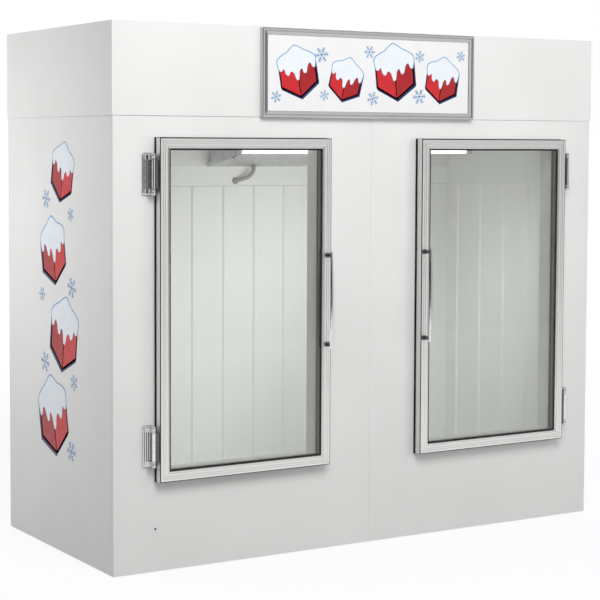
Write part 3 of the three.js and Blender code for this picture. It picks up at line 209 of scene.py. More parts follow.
def spread(tree, value, low, high, start=0.3, end=0.7):
    """Maps start..end of a value to low..high."""
    inputs = {
        "Value": value,
        "From Min": start,
        "From Max": end,
        "To Min": low,
        "To Max": high,
    }
    return add_node(tree, "ShaderNodeMapRange", inputs).outputs["Result"]


def blend_colour(tree, factor, first, second):
    inputs = {0: factor, 6: (*first, 1), 7: (*second, 1)}
    return add_node(tree, "ShaderNodeMix", inputs, data_type="RGBA").outputs[2]


def math_node(tree, operation, first, second, third=0.5, clamp=False):
    inputs = {0: first, 1: second, 2: third}
    return add_node(tree, "ShaderNodeMath", inputs, operation=operation, use_clamp=clamp).outputs[0]


def ray_share(tree, *kinds):
    """1 for a ray of any of these kinds, and 0 for any other."""
    rays = add_node(tree, "ShaderNodeLightPath").outputs
    share = rays[kinds[0]]
    for kind in kinds[1:]:
        share = math_node(tree, "ADD", share, rays[kind], clamp=True)
    return share


def mix_shaders(tree, share, first, second):
    inputs = {0: share, 1: first.outputs[0], 2: second.outputs[0]}
    return add_node(tree, "ShaderNodeMixShader", inputs)


def finish(tree, surface, colour, roughness, height, depth):
    """Links a surface's colour and roughness, and raises it by height times depth in millimetres."""
    inputs = {"Height": height, "Distance": depth * MM, "Strength": 1}
    relief = add_node(tree, "ShaderNodeBump", inputs).outputs["Normal"]
    links = {"Base Color": colour, "Roughness": roughness, "Normal": relief}
    for socket, value in links.items():
        tree.links.new(value, surface.inputs[socket])


# ---- materials


def coat(name, colours, cloud, marks, gloss, grain, depth, edges=(0.3, 0.7), **inputs):
    """A surface whose colour, roughness and relief each follow a noise of its own.

    cloud, marks and grain are the scale, detail and roughness of the three noises.
    """
    material, tree, surface = shader(name, **inputs)
    colour = blend_colour(tree, spread(tree, noise(tree, *cloud), 0, 1, *edges), *colours)
    roughness = spread(tree, noise(tree, *marks), *gloss)
    finish(tree, surface, colour, roughness, noise(tree, *grain), depth)
    return material


def painted(name, colour, other, gloss=(0.32, 0.46), grain=520):
    """Baked enamel: a fine orange peel, a little cloudiness and handling marks in the gloss."""
    settings = (2.2, 3), (14, 5, 0.65), gloss, (grain, 2), 0.05
    return coat(name, (colour, other), *settings, Specular_IOR_Level=0.45)


def plastic(name, colour, other, gloss=(0.38, 0.55), grain=1100):
    """Moulded plastic with a fine tooth and faint clouds."""
    settings = (12, 4), (25, 4), gloss, (grain, 2), 0.04
    return coat(name, (colour, other), *settings, Specular_IOR_Level=0.45)


def print_ink(name, colour, other):
    """Cut vinyl or screen ink: flat colour with a fine tooth."""
    settings = (20, 4), (40, 3), (0.28, 0.42), (900, 2), 0.02
    return coat(name, (colour, other), *settings, Specular_IOR_Level=0.4)


def rubber(name):
    """Black rubber, greyed where dust lies on it."""
    colours = (0.010, 0.010, 0.010), (0.05, 0.05, 0.048)
    settings = (30, 5), (30, 5), (0.55, 0.8), (1400, 2), 0.03
    return coat(name, colours, *settings, edges=(0.45, 0.8), Specular_IOR_Level=0.3)


def copper(name):
    """Drawn copper tube, brown where it has aged."""
    colours = (0.80, 0.42, 0.25), (0.42, 0.20, 0.12)
    settings = (22, 5, 0.6), (22, 5, 0.6), (0.22, 0.5), (160, 3), 0.04
    return coat(name, colours, *settings, edges=(0.35, 0.65), Metallic=1)


def chrome(name):
    """Polished plating with faint wipe marks and finger haze."""
    colours = (0.78, 0.79, 0.80), (0.70, 0.71, 0.72)
    settings = (60, 4), (60, 4), (0.05, 0.16), (45, 2), 0.06
    return coat(name, colours, *settings, Metallic=1)


def brushed(name, colour, other, stretch=EVEN, gloss=(0.26, 0.42)):
    """Satin metal with fine lines along the axis whose stretch is small, if there is one."""
    material, tree, surface = shader(name, Metallic=1)
    lines = noise(tree, 900, 3, 0.5, stretch)
    patches = spread(tree, noise(tree, 9, 4), 0, 0.4)
    tone = math_node(tree, "MULTIPLY_ADD", lines, 0.6, patches)
    tint = blend_colour(tree, tone, colour, other)
    finish(tree, surface, tint, spread(tree, lines, *gloss), lines, 0.03)
    return material


def galvanised(name):
    """Zinc coat with crystal spangle, dulled in patches."""
    material, tree, surface = shader(name, Metallic=1)
    cells = add_node(tree, "ShaderNodeTexVoronoi", {"Vector": place(tree), "Scale": 95})
    facet = add_node(tree, "ShaderNodeSeparateColor", {0: cells.outputs["Color"]}).outputs[0]
    tone = math_node(tree, "MULTIPLY", facet, spread(tree, noise(tree, 6, 4), 0.4, 1))
    colour = blend_colour(tree, tone, (0.60, 0.61, 0.62), (0.42, 0.43, 0.44))
    finish(tree, surface, colour, spread(tree, facet, 0.34, 0.52, 0, 1), facet, 0.02)
    return material


def pane_glass(name):
    """A thin pane: it passes light straight through, greys it a little, and mirrors at a slant.

    The mirrored share follows Schlick's rule, from head_on where the pane faces the eye.
    """
    head_on, rise = 0.047, 0.86
    material, tree, output = bare_material(name)
    clear = add_node(tree, "ShaderNodeBsdfTransparent", {"Color": (0.965, 0.967, 0.962, 1)})
    inputs = {"Color": (0.96, 0.965, 0.96, 1), "Roughness": spread(tree, noise(tree, 5, 4), 0, 0.03)}
    gloss = add_node(tree, "ShaderNodeBsdfGlossy", inputs)
    slant = add_node(tree, "ShaderNodeLayerWeight", {"Blend": 0.5}).outputs["Facing"]
    share = math_node(tree, "MULTIPLY_ADD", math_node(tree, "POWER", slant, 5), rise, head_on)
    tree.links.new(mix_shaders(tree, share, clear, gloss).outputs[0], output.inputs["Surface"])
    return material


def glowing(name, strength):
    """A fluorescent tube: white powder behind glass, warmer in places."""
    material, tree, surface = shader(name, Roughness=0.3, Emission_Strength=strength)
    surface.inputs["Base Color"].default_value = (0.9, 0.92, 0.92, 1)
    tone = spread(tree, noise(tree, 8, 2), 0, 1)
    colour = blend_colour(tree, tone, (1, 0.99, 0.97), (0.96, 0.98, 1))
    tree.links.new(colour, surface.inputs["Emission Color"])
    return material


LOOK = {
    "white": painted("white_enamel", (0.83, 0.83, 0.82), (0.79, 0.79, 0.78)),
    "liner": painted("liner_enamel", (0.74, 0.75, 0.73), (0.70, 0.71, 0.69), (0.4, 0.55)),
    # A darker copy of the liner's enamel, for the strip that paints the shade across the top of the
    # rear wall
    "painted_shade_strip": painted("painted_shade_strip_enamel", (0.68, 0.69, 0.67), (0.64, 0.65, 0.63), (0.4, 0.55)),
    "black": painted("black_enamel", (0.018, 0.018, 0.02), (0.028, 0.028, 0.03), (0.2, 0.36), 350),
    "galvanised": galvanised("zinc_spangle"),
    "sign_rail": brushed("sign_rail", (0.64, 0.65, 0.65), (0.56, 0.57, 0.57)),
    "stile": brushed("door_stile", (0.86, 0.86, 0.84), (0.78, 0.78, 0.77), (1, 1, 0.02)),
    "rail": brushed("door_rail", (0.84, 0.84, 0.82), (0.76, 0.76, 0.75), (0.02, 1, 1)),
    "fin": brushed("coil_fin", (0.78, 0.79, 0.80), (0.62, 0.63, 0.64), (1, 1, 0.05)),
    "casting": brushed("satin_chrome", (0.68, 0.67, 0.67), (0.56, 0.55, 0.55), EVEN, (0.16, 0.3)),
    # Dark metal for the handle feet and hinge straps; on the straps it also paints the shade in the
    # gap behind the barrel
    "dark_chrome_and_painted_shade": brushed("dark_chrome_and_painted_shade", (0.17, 0.17, 0.17), (0.11, 0.11, 0.11), EVEN, (0.2, 0.34)),
    "chrome": chrome("chrome_plate"),
    "face": plastic("sign_acrylic", (0.86, 0.86, 0.87), (0.83, 0.83, 0.84), (0.12, 0.2), 60),
    "grey": plastic("grey_moulding", (0.22, 0.225, 0.22), (0.18, 0.185, 0.18)),
    "pale": plastic("pale_moulding", (0.62, 0.63, 0.61), (0.56, 0.57, 0.55)),
    "spacer": plastic("spacer_coat", (0.070, 0.070, 0.072), (0.055, 0.055, 0.057), (0.4, 0.55), 700),
    "rubber": rubber("black_rubber"),
    "glass": pane_glass("pane_glass"),
    "lamp": glowing("lamp_glow", 2.4),
    "copper": copper("copper_tube"),
    "red": print_ink("ink_red", (0.60, 0.012, 0.018), (0.55, 0.010, 0.015)),
    "deep_red": print_ink("ink_deep_red", (0.40, 0.008, 0.012), (0.36, 0.006, 0.010)),
    "navy": print_ink("ink_navy", (0.022, 0.028, 0.12), (0.018, 0.024, 0.10)),
    "snow": print_ink("ink_snow", (0.84, 0.88, 0.92), (0.78, 0.84, 0.90)),
    "blue": print_ink("ink_blue", (0.22, 0.42, 0.66), (0.20, 0.38, 0.62)),
}

# The looks that each of the record's slots takes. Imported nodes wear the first, and ink and copper
# belong to no slot.
SLOT_LOOKS = {
    "white_painted_steel": ("white",),
    "insulated_core": ("liner",),
    "liner_steel": ("liner", "painted_shade_strip"),
    "galvanised_steel": ("galvanised",),
    "sign_aluminium": ("sign_rail",),
    "door_aluminium": ("stile", "rail"),
    "sign_face": ("face",),
    "lamp": ("lamp",),
    "coil_aluminium": ("fin",),
    "grey_plastic": ("grey",),
    "pale_plastic": ("pale",),
    "black_enamel": ("black",),
    "door_glass": ("glass",),
    "black_rubber": ("rubber", "spacer"),
    "chrome": ("chrome", "casting", "dark_chrome_and_painted_shade"),
}
LOOK_SLOTS = {look: slot for slot, looks in SLOT_LOOKS.items() for look in looks}

# ---- modelling helpers


def add_object(name, data):
    """An object of some data, in the scene."""
    made = bpy.data.objects.new(name, data)
    bpy.context.scene.collection.objects.link(made)
    return made


def ring(centre, along, across, radius, count):
    """Points round an axis, or the one point on it where the radius is 0."""
    if radius == 0:
        return [centre]
    other = along.cross(across)
    angles = [2 * math.pi * i / count for i in range(count)]
    return [centre + (across * math.cos(a) + other * math.sin(a)) * radius for a in angles]


def make_piece(name, mesh, look):
    """An object of a mesh drawn in millimetres, shaded smooth, in its look."""
    mesh.transform(Matrix.Scale(MM, 4))
    data = bpy.data.meshes.new(name)
    mesh.to_mesh(data)
    mesh.free()
    data.shade_smooth()
    data.materials.append(LOOK[look])
    return add_object(name, data)


def add_bevel(piece, width):
    """Rounds the piece's edges by a width in millimetres."""
    modifier = piece.modifiers.new("edges", "BEVEL")
    modifier.width = width * MM
    modifier.segments = 2
    modifier.limit_method = "ANGLE"
    modifier.angle_limit = math.radians(30)
    modifier.harden_normals = True


class Form:
    """A mesh in the making, in millimetres in the row frame. Each method adds one closed body."""

    def __init__(self):
        self.mesh = bmesh.new()

    def loft(self, loops, closed=False):
        """Bridges loops of points, all as long or a single point, and caps the two ends."""
        rings = [[self.mesh.verts.new(point) for point in loop] for loop in loops]
        for low, high in zip(rings, rings[1:] + rings[:1] if closed else rings[1:]):
            for i in range(max(len(low), len(high))):
                j = i + 1
                quad = low[i % len(low)], low[j % len(low)], high[j % len(high)], high[i % len(high)]
                self.mesh.faces.new(dict.fromkeys(quad))
        if not closed:
            for end in (rings[0][::-1], rings[-1]):
                if len(end) > 1:
                    self.mesh.faces.new(end)

    def prism(self, outline, put, start, end):
        """An outline of (u, v) points run from start to end; put(u, v, w) places a point."""
        self.loft([[put(u, v, w) for u, v in outline] for w in (start, end)])

    def box(self, low, high):
        outline = [(low[0], low[1]), (high[0], low[1]), (high[0], high[1]), (low[0], high[1])]
        self.prism(outline, lambda u, v, w: (u, v, w), low[2], high[2])

    def turned(self, profile, centre, axis, segments=32, closed=False):
        """A profile of (radius, height) points turned about an axis; a closed one makes a ring."""
        along = Vector(axis).normalized()
        across = along.orthogonal().normalized()
        centre = Vector(centre)
        loops = [ring(centre + along * rise, along, across, r, segments) for r, rise in profile]
        self.loft(loops, closed)

    def disc(self, radius, start, end, centre, axis, segments=24):
        """A cylinder from one height to another on an axis."""
        self.turned([(0, start), (radius, start), (radius, end), (0, end)], centre, axis, segments)

    def tube(self, points, radius, sides=12, closed=False):
        """A round tube along points, turned as little as possible from one to the next."""
        points = [Vector(p) for p in points]
        last = len(points) - 1
        loops = []
        across = None
        for i, point in enumerate(points):
            if closed:
                heading = points[(i + 1) % len(points)] - points[i - 1]
            else:
                heading = points[min(i + 1, last)] - points[max(i - 1, 0)]
            heading.normalize()
            if across is None:
                across = heading.orthogonal().normalized()
            across = (across - heading * across.dot(heading)).normalized()
            loops.append(ring(point, heading, across, radius, sides))
        self.loft(loops, closed)

    def screw(self, centre, axis, radius=4.5, height=1.8):
        """A button-head screw with a hexagon socket."""
        along = Vector(axis).normalized()
        across = along.orthogonal().normalized()
        other = along.cross(across)
        count, sixth = 24, math.pi / 6
        key = 0.45 * radius
        profile = [(radius, 0, 0), (radius, 0.25 * height, 0), (0.86 * radius, 0.7 * height, 0)]
        profile += [(0.62 * radius, height, 0), (key, height, 1), (key, 0.35 * height, 1)]
        loops = []
        for reach, rise, hexagonal in profile:
            loop = []
            for i in range(count):
                a = 2 * math.pi * i / count
                flat = math.cos(sixth) / math.cos(a % (2 * sixth) - sixth) if hexagonal else 1
                spoke = across * math.cos(a) + other * math.sin(a)
                loop.append(Vector(centre) + along * rise + spoke * (reach * flat))
            loops.append(loop)
        self.loft(loops)

    def done(self, name, look, replaces=None, body=CABINET, sharp=35, bevel=0):
        """Makes the piece, shades it smooth with sharp edges, and lets it ride on its body."""
        bmesh.ops.recalc_face_normals(self.mesh, faces=self.mesh.faces[:])
        piece = make_piece(name, self.mesh, look)
        piece.data.set_sharp_from_angle(angle=math.radians(sharp))
        if bevel:
            add_bevel(piece, bevel)
        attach(piece, body)
        if replaces:
            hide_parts(replaces)


def both_ends(profile):
    """One end's profile with its mirror image before it, as a whole turned shape."""
    return [(radius, -rise) for radius, rise in profile[::-1]] + profile


def arc(centre, radius, start, end, steps):
    """Points on an arc, from start to end in degrees, as (u, v) pairs."""
    angles = [math.radians(start + (end - start) * i / steps) for i in range(steps + 1)]
    return [(centre[0] + radius * math.cos(a), centre[1] + radius * math.sin(a)) for a in angles]


def rounded(half_u, half_v, radius, steps=5, centre=(0, 0)):
    """A rectangle with round corners, as an outline of (u, v) points."""
    corners = []
    for sign_u, sign_v, start in ((1, -1, -90), (1, 1, 0), (-1, 1, 90), (-1, -1, 180)):
        u = centre[0] + sign_u * (half_u - radius)
        v = centre[1] + sign_v * (half_v - radius)
        corners += arc((u, v), radius, start, start + 90, steps)
    return corners


def smooth_route(points, per_span):
    """A Catmull-Rom curve through points."""
    points = [Vector(p) for p in points]
    ends = [points[0] * 2 - points[1], *points, points[-1] * 2 - points[-2]]
    route = []
    for a, b, c, d in zip(ends, ends[1:], ends[2:], ends[3:]):
        for i in range(per_span):
            t = i / per_span
            bend = (a * 2 - b * 5 + c * 4 - d) * t * t
            route.append(((b * 2) + (c - a) * t + bend + (b * 3 - a - c * 3 + d) * t ** 3) / 2)
    return [*route, points[-1]]


def axis_route(start, *moves):
    """Points reached from a start by moves along one axis each, such as ("z", the height)."""
    points = [Vector(start)]
    for axis, value in moves:
        points.append(points[-1].copy())
        setattr(points[-1], axis, value)
    return points


def bent_route(points, radius, steps=6):
    """Straight runs joined by round bends, as a bent copper pipe has."""
    points = [Vector(p) for p in points]
    route = [points[0]]
    for before, corner, after in zip(points, points[1:], points[2:]):
        back, on = before - corner, after - corner
        limit = 0.49 * min(back.length, on.length)
        back.normalize()
        on.normalize()
        reach = min(radius / math.tan(back.angle(on) / 2), limit)
        start, end = corner + back * reach, corner + on * reach
        for i in range(steps + 1):
            t = i / steps
            route.append(start * (1 - t) ** 2 + corner * 2 * t * (1 - t) + end * t ** 2)
    return [*route, points[-1]]


# ---- CAD nodes that stay as shown


def clean_up_group():
    """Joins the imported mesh's split corners and shades it by angle, as a modifier."""
    group = bpy.data.node_groups.new("clean_up", "GeometryNodeTree")
    for in_out in ("INPUT", "OUTPUT"):
        group.interface.new_socket("Geometry", in_out=in_out, socket_type="NodeSocketGeometry")

    def step(kind, flow, settings=None, **inputs):
        """A node that takes the geometry and hands it on. Input names have _ for a space."""
        named = {name.replace("_", " "): value for name, value in inputs.items()}
        made = add_node(group, f"GeometryNode{kind}", {"Geometry": flow, **named}, **(settings or {}))
        return made.outputs["Geometry"]

    flow = add_node(group, "NodeGroupInput").outputs[0]
    for attribute in ("custom_normal", "sharp_face", "sharp_edge"):
        flow = step("RemoveAttribute", flow, Name=attribute)
    flow = step("MergeByDistance", flow, Distance=0.005 * MM)
    flow = step("SetShadeSmooth", flow, {"domain": "FACE"})
    angle = add_node(group, "GeometryNodeInputMeshEdgeAngle").outputs["Unsigned Angle"]
    inputs = {"A": angle, "B": math.radians(30)}
    hard = add_node(group, "FunctionNodeCompare", inputs, operation="GREATER_THAN").outputs["Result"]
    flow = step("SetShadeSmooth", flow, {"domain": "EDGE"}, Selection=hard, Shade_Smooth=False)
    add_node(group, "NodeGroupOutput", {0: flow})
    return group


def dress_nodes():
    """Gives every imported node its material, joined corners and slightly rounded edges."""
    group = clean_up_group()
    slots = {row["node"]: row["material_slot"] for row in frame["record"]["subparts"]}
    for name, node in frame["nodes"].items():
        for slot in node.material_slots:
            slot.material = LOOK[SLOT_LOOKS[slots[name]][0]]
        clean = node.modifiers.new("clean_up", "NODES")
        clean.node_group = group
        add_bevel(node, 0.5)


dress_nodes()

# ---- outer sheets


def folded_sheet(name, columns, rows, hole, node):
    """A white sheet through columns of (x, y) points and rows of heights, with one cell left open.

    Its points are on the sheet's outer face, and the metal's thickness goes inwards.
    """
    mesh = bmesh.new()
    grid = [[mesh.verts.new((x, y, z)) for z in rows] for x, y in columns]
    for i in range(len(columns) - 1):
        for j in range(len(rows) - 1):
            if (i, j) != hole:
                mesh.faces.new((grid[i][j], grid[i + 1][j], grid[i + 1][j + 1], grid[i][j + 1]))
    piece = make_piece(name, mesh, "white")
    solid = piece.modifiers.new("thickness", "SOLIDIFY")
    solid.thickness = SHEET * MM
    solid.offset = -1
    solid.use_even_offset = True
    add_bevel(piece, 0.3)
    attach(piece, CABINET)
    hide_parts(node)


def add_front_sheet(side):
    """Half of the front, cut out for its door and folded round the cabinet's corner."""
    name = SIDES[side]
    low, high = span(f"{name}_opening_trim")
    inset = TRIM_FLANGE - TRIM_WALL
    near, far = sorted(abs(x) for x in (low.x, high.x))
    middle = (HALF_WIDTH - FOLD_RADIUS, FRONT + FOLD_RADIUS)
    plan = [(FRONT_SEAM / 2, FRONT), (near + inset, FRONT), (far - inset, FRONT)]
    plan += arc(middle, FOLD_RADIUS, -90, 0, 5)
    plan.append((HALF_WIDTH, FRONT + FOLD_RETURN))
    columns = [(side * x, y) for x, y in plan][::side]
    rows = [SKIRT, low.z + inset, high.z - inset, BODY_TOP]
    hole = (1 if side == RIGHT else len(columns) - 3, 1)
    folded_sheet(f"front_{name}_sheet", columns, rows, hole, f"front_{name}_panel")


def add_side_sheet(side):
    """A side of the cabinet, from the front sheet's return to a fold behind."""
    name = SIDES[side]
    rear = span("rear_panel")[0].y - 0.3
    middle = (HALF_WIDTH - FOLD_RADIUS, rear - FOLD_RADIUS)
    plan = [(HALF_WIDTH, FRONT + FOLD_RETURN + SIDE_SEAM), *arc(middle, FOLD_RADIUS, 0, 90, 5)]
    plan.append((HALF_WIDTH - HEM, rear))
    columns = [(side * x, y) for x, y in plan][::side]
    folded_sheet(f"{name}_side_sheet", columns, [SKIRT, BODY_TOP], None, f"{name}_side_panel")


for side in SIDES:
    add_front_sheet(side)
    add_side_sheet(side)

# ---- frames and doors

MEMBER_ENDS = {
    "top": ((-1, 1), (1, 1)),
    "bottom": ((1, -1), (-1, -1)),
    "left": ((-1, -1), (-1, 1)),
    "right": ((1, 1), (1, -1)),
}
RING_CORNERS = ((-1, -1), (1, -1), (1, 1), (-1, 1))


def corner_loop(section, opening, centre, back, signs):
    """A frame's section at one corner of its opening.

    The section has points (outward from the opening's edge, forward from the back plane).
    """
    loop = []
    for out, forward in section:
        x = centre[0] + signs[0] * (opening[0] / 2 + out)
        z = centre[1] + signs[1] * (opening[1] / 2 + out)
        loop.append(Vector((x, back - forward, z)))
    return loop


def frame_place(node, face):
    """The opening, centre and back plane of a node that is a frame with faces this wide."""
    low, high = span(node)
    middle, size = (low + high) / 2, high - low
    opening = (size.x - 2 * face, size.z - 2 * face)
    return opening, (middle.x, middle.z), middle.y + size.y / 2


def mitred_members(section, opening, centre, back):
    """Each of a frame's four members as a form, with a hair's gap at the mitres."""
    members = {}
    for member, (start, end) in MEMBER_ENDS.items():
        along = Vector((end[0] - start[0], 0, end[1] - start[1])).normalized()
        loops = []
        for signs, pull in ((start, 1), (end, -1)):
            shift = along * (pull * MITRE_GAP / 2)
            loop = corner_loop(section, opening, centre, back, signs)
            loops.append([point + shift for point in loop])
        members[member] = Form()
        members[member].loft(loops)
    return members


def add_ring(name, look, body, section, opening, centre, back, **settings):
    """A closed frame with no joints, such as a welded gasket."""
    form = Form()
    loops = [corner_loop(section, opening, centre, back, signs) for signs in RING_CORNERS]
    form.loft(loops, closed=True)
    form.done(name, look, body=body, **settings)


def door_section():
    """The door's extrusion: a glazing channel, a stepped bead, grooves and a notch at its edge."""
    depth, face = FRAME_DEPTH, FRAME_FACE
    front = depth - FRAME_LIP
    back = front - GLASS_THICKNESS - 0.6
    points = [(0, 0), (face - 2, 0), (face - 0.6, 0.6), (face, 2)]
    for height in (12, 22):
        points += [(face, height), (face - 0.5, height + 0.5), (face - 0.5, height + 1.5)]
        points.append((face, height + 2))
    points += [(face, depth - REFLECTION_BEAD - 0.4), (face - 0.4, depth - REFLECTION_BEAD)]
    points += [(face - REFLECTION_BEAD, depth - REFLECTION_BEAD), (face - REFLECTION_BEAD, depth - 0.4)]
    points.append((face - REFLECTION_BEAD - 0.4, depth))
    for out in (30, 21):
        points += [(out + 2.2, depth), (out + 0.7, depth - 2.1), (out - 0.7, depth - 2.1)]
        points.append((out - 2.2, depth))
    points += [(11.2, depth), (10.3, depth - 2.4), (8.7, depth - 2.4), (7.9, depth - 1.4)]
    points += arc((4.6, depth - 2.9), 2.9, 52, 160, 6)
    points += [(0.6, depth - 3.0), (0, depth - 3.6), (0, front)]
    points += [(GLASS_BITE, front), (GLASS_BITE, back), (0, back)]
    return points


def gasket_section():
    """A magnetic bellows gasket: two pads, with two folds between them on either side."""
    # The outer pad reaches into the gap beside the door, where its black paints the shade in that gap
    # and the dark line along the door's top
    inner, outer, depth = GASKET_INNER, GASKET_OUTER + GASKET_SHADE_LIP, GASKET_DEPTH
    folds = [(0, 0), (0, 1.8), (1.2, 2.6), (3.2, 3.2), (1.0, depth / 2)]
    folds += [(3.2, 5.8), (1.2, 6.6), (0, 7.4), (0, depth)]
    points = [(outer - inward, rise) for inward, rise in folds]
    points += [(inner + outward, rise) for outward, rise in folds[::-1]]
    return points


def add_door_frame(side):
    """A door's four mitred members, brushed along their length."""
    door = f"{SIDES[side]}_door"
    node = f"{door}_frame"
    members = mitred_members(door_section(), *frame_place(node, FRAME_FACE))
    for member, form in members.items():
        look = "rail" if member in ("top", "bottom") else "stile"
        form.done(f"{door}_{member}_{look}", look, node, body=door, sharp=28, bevel=0.2)


def add_glazing(side):
    """The sealed unit: two panes, the black spacer between them, and the wedge that grips them."""
    door = f"{SIDES[side]}_door"
    low, high = span(f"{door}_glass")
    for pane, y in (("outer", low.y), ("inner", high.y - PANE)):
        form = Form()
        form.box((low.x, y, low.z), (high.x, y + PANE, high.z))
        form.done(f"{door}_{pane}_pane", "glass", f"{door}_glass", body=door, bevel=0.4)
    (width, height), centre, _ = frame_place(f"{door}_glass", GLASS_BITE - 0.5)
    depth = high.y - low.y - 2 * PANE - 0.1
    spacer = [(GLASS_BITE - 2, 0), (GLASS_BITE - 2, depth), (-SPACER_SIGHT + 1, depth)]
    spacer += [(-SPACER_SIGHT, depth - 1), (-SPACER_SIGHT, 1), (-SPACER_SIGHT + 1, 0)]
    back = high.y - PANE - 0.05
    add_ring(f"{door}_spacer", "spacer", door, spacer, (width, height), centre, back)
    wedge = [(2, 0.02), (0.4 - WEDGE_SIGHT, 0.02), (-WEDGE_SIGHT, 0.5), (0.5 - WEDGE_SIGHT, 1.3)]
    wedge += [(-0.5, 3.2), (-0.02, 3.0), (-0.02, 0.28), (2, 0.28)]
    add_ring(f"{door}_wedge", "rubber", door, wedge, (width - 1, height - 1), centre, low.y)


def add_door_seals(side):
    """Black seals: a bead in the frame's outer edge, which paints the dark reflection along that
    round edge, and an edging and a bulb round its lip.
    """
    door = f"{SIDES[side]}_door"
    radius = REFLECTION_BEAD - 0.05
    corner = (FRAME_FACE - radius, FRAME_DEPTH - radius)
    lip = FRAME_DEPTH - FRAME_LIP - GLASS_THICKNESS - 0.65
    bulb = [(5, -0.1), *arc((2.2, -5.8), 2.8, 0, -90, 4), *arc((0.6, -6.2), 2.4, -90, -180, 4)]
    sections = {
        # Black in the frame's outer notch: a painted dark reflection line along the edge
        "painted_reflection_bead": [corner, *arc(corner, radius, 0, 90, 6)],
        "lip_edging": [(-0.03, 0.4), (-0.03, lip), (-1.8, lip), (-1.8, 1.0), (-1.3, 0.4)],
        "bulb_seal": [*bulb, (-1.8, -0.9), (-1, -0.1)],
    }
    placed = frame_place(f"{door}_frame", FRAME_FACE)
    for name, section in sections.items():
        add_ring(f"{door}_{name}", "rubber", door, section, *placed)


def add_gasket(side):
    """The bellows gasket behind a door's frame."""
    door = f"{SIDES[side]}_door"
    node = f"{door}_gasket"
    settings = {"replaces": node, "sharp": 50, "bevel": 0.25}
    placed = frame_place(node, GASKET_OUTER)
    add_ring(f"{door}_seal", "rubber", door, gasket_section(), *placed, **settings)


def ridged_oval(half_u, half_v):
    """An oval drawn in towards a diamond, so that its sides are flatter and its ridges softer."""
    power, count = 1.5, 28
    points = []
    for k in range(count):
        u, v = math.cos(2 * math.pi * k / count), math.sin(2 * math.pi * k / count)
        u, v = (math.copysign(abs(t) ** power, t) for t in (u, v))
        points.append((half_u * u, half_v * v))
    return points


def add_handle(side):
    """A bowed bar of oval section on two dark collared feet."""
    door = f"{SIDES[side]}_door"
    low, high = span(f"{door}_handle")
    x, face, middle = (low.x + high.x) / 2, high.y, (low.z + high.z) / 2
    end = HANDLE_HALF + HANDLE_OVERRUN
    stations, tip = 48, 4
    loops = []
    for i in range(stations + 1):
        z = -end + 2 * end * i / stations
        inside = min(1.0, abs(z) / HANDLE_HALF)
        y = face - HANDLE_REACH - HANDLE_BOW * (1 - inside ** 2)
        rest = end - abs(z)
        taper = 1.0 if rest > tip else math.sqrt(max(0.04, 1 - ((tip - rest) / tip) ** 2))
        section = ridged_oval(*(radius * taper for radius in HANDLE_RADII))
        loops.append([(x + u, y + v, middle + z) for u, v in section])
    form = Form()
    form.loft(loops)
    form.done(f"{door}_pull", "chrome", f"{door}_handle", body=door, sharp=40)
    form = Form()
    post = [(0, 3), (9.4, 3), (8.8, 6), (8.0, 13), (7.4, 20), (6.8, 26), (6.2, 31), (0, 31.5)]
    levels = [(0.6, 0), (0, 0.6), (0, 2.6), (0.5, 3.7), (1.6, 4.6), (3.2, 5.2)]
    for z in (middle - HANDLE_HALF, middle + HANDLE_HALF):
        form.turned(post, (x, face, z), (0, -1, 0))
        loops = []
        for inset, rise in levels:
            outline = rounded(14.5 - inset, 10 - inset, 9 - inset, 5, (5.5, 0))
            loops.append([(x - side * u, face - rise, z + v) for u, v in outline])
        form.loft(loops)
    form.done(f"{door}_pull_feet", "dark_chrome_and_painted_shade", f"{door}_handle", body=door, sharp=40)


for side in SIDES:
    add_door_frame(side)
    add_glazing(side)
    add_door_seals(side)
    add_gasket(side)
    add_handle(side)

# ---- hinges


def fluted_leaf(form, half, back, face, put):
    """A cast plate with upright flutes that fade towards its round ends."""
    middle, half_width, flutes, steps, groove = 11, 23, 5, 8, 0.85
    count = flutes * steps
    # At each height: how far it lies from the end, its inset, its thickness and its flutes' depth
    ends = [(0, 7.5, 0.30, 0), (1.5, 3.6, 0.60, 0), (4.5, 1.1, 0.86, 0.2), (9, 0.2, 0.96, 0.5)]
    ends += [(16, 0, 1, 0.9), (26, 0, 1, 1)]
    stations = [(half - rest, inset, rise, wave) for rest, inset, rise, wave in ends]
    stations += [(-height, inset, rise, wave) for height, inset, rise, wave in stations[::-1]]
    loops = []
    for height, inset, rise, wave in stations:
        width = half_width - inset
        top = back + (face - back) * rise
        loop = [put(middle + width, height, back)]
        for i in range(count + 1):
            across = width * (1 - 2 * i / count)
            dip = groove * (1 + math.cos(2 * math.pi * i / steps))
            edge = 1.2 if i in (0, count) else 0
            loop.append(put(middle + across, height, top - dip * wave - edge))
        loop.append(put(middle - width, height, back))
        loops.append(loop)
    form.loft(loops)


def add_hinge_leaf(node, pivot, half, put):
    """The cabinet's half: a fluted plate with two arms, round knuckles, screws and the pin."""
    back = -HINGE_FORWARD + 0.3
    face = back + HINGE_LEAF
    form = Form()
    fluted_leaf(form, half, back, face, put)
    arm = [(9, 0), (9.3, -8), (11, -16), (15, -22), (21, -25.2), (26, face)]
    arm += [(26, back + 3), (-9, back + 3), (-9, 0)]
    knuckle = [(0, 0), (7.0, 0), (7.8, 0.8), (7.8, 4.6), (6.5, 6.2), (7.2, 8.2), (8.6, 11.2)]
    knuckle += [(9, 14.6), (8.8, 18), (7.7, 21.4), (5.8, 24), (3.2, 25.6), (0, KNUCKLE)]
    knuckle = [(radius, half - KNUCKLE + rise) for radius, rise in knuckle]
    for end in (-1, 1):
        heights = (end * (half - KNUCKLE), end * (half - PIN_END))
        form.prism(arm, lambda u, w, v: put(u, v, w), *heights)
        form.turned(knuckle, pivot, (0, 0, end))
        form.screw(put(21, end * (half - 17), face - 1.6), (0, -1, 0), 4.2)
    form.disc(4, PIN_END - half, half - PIN_END, pivot, (0, 0, 1), 20)
    form.done(f"{node}_casting", "casting", node, sharp=40, bevel=0.5)


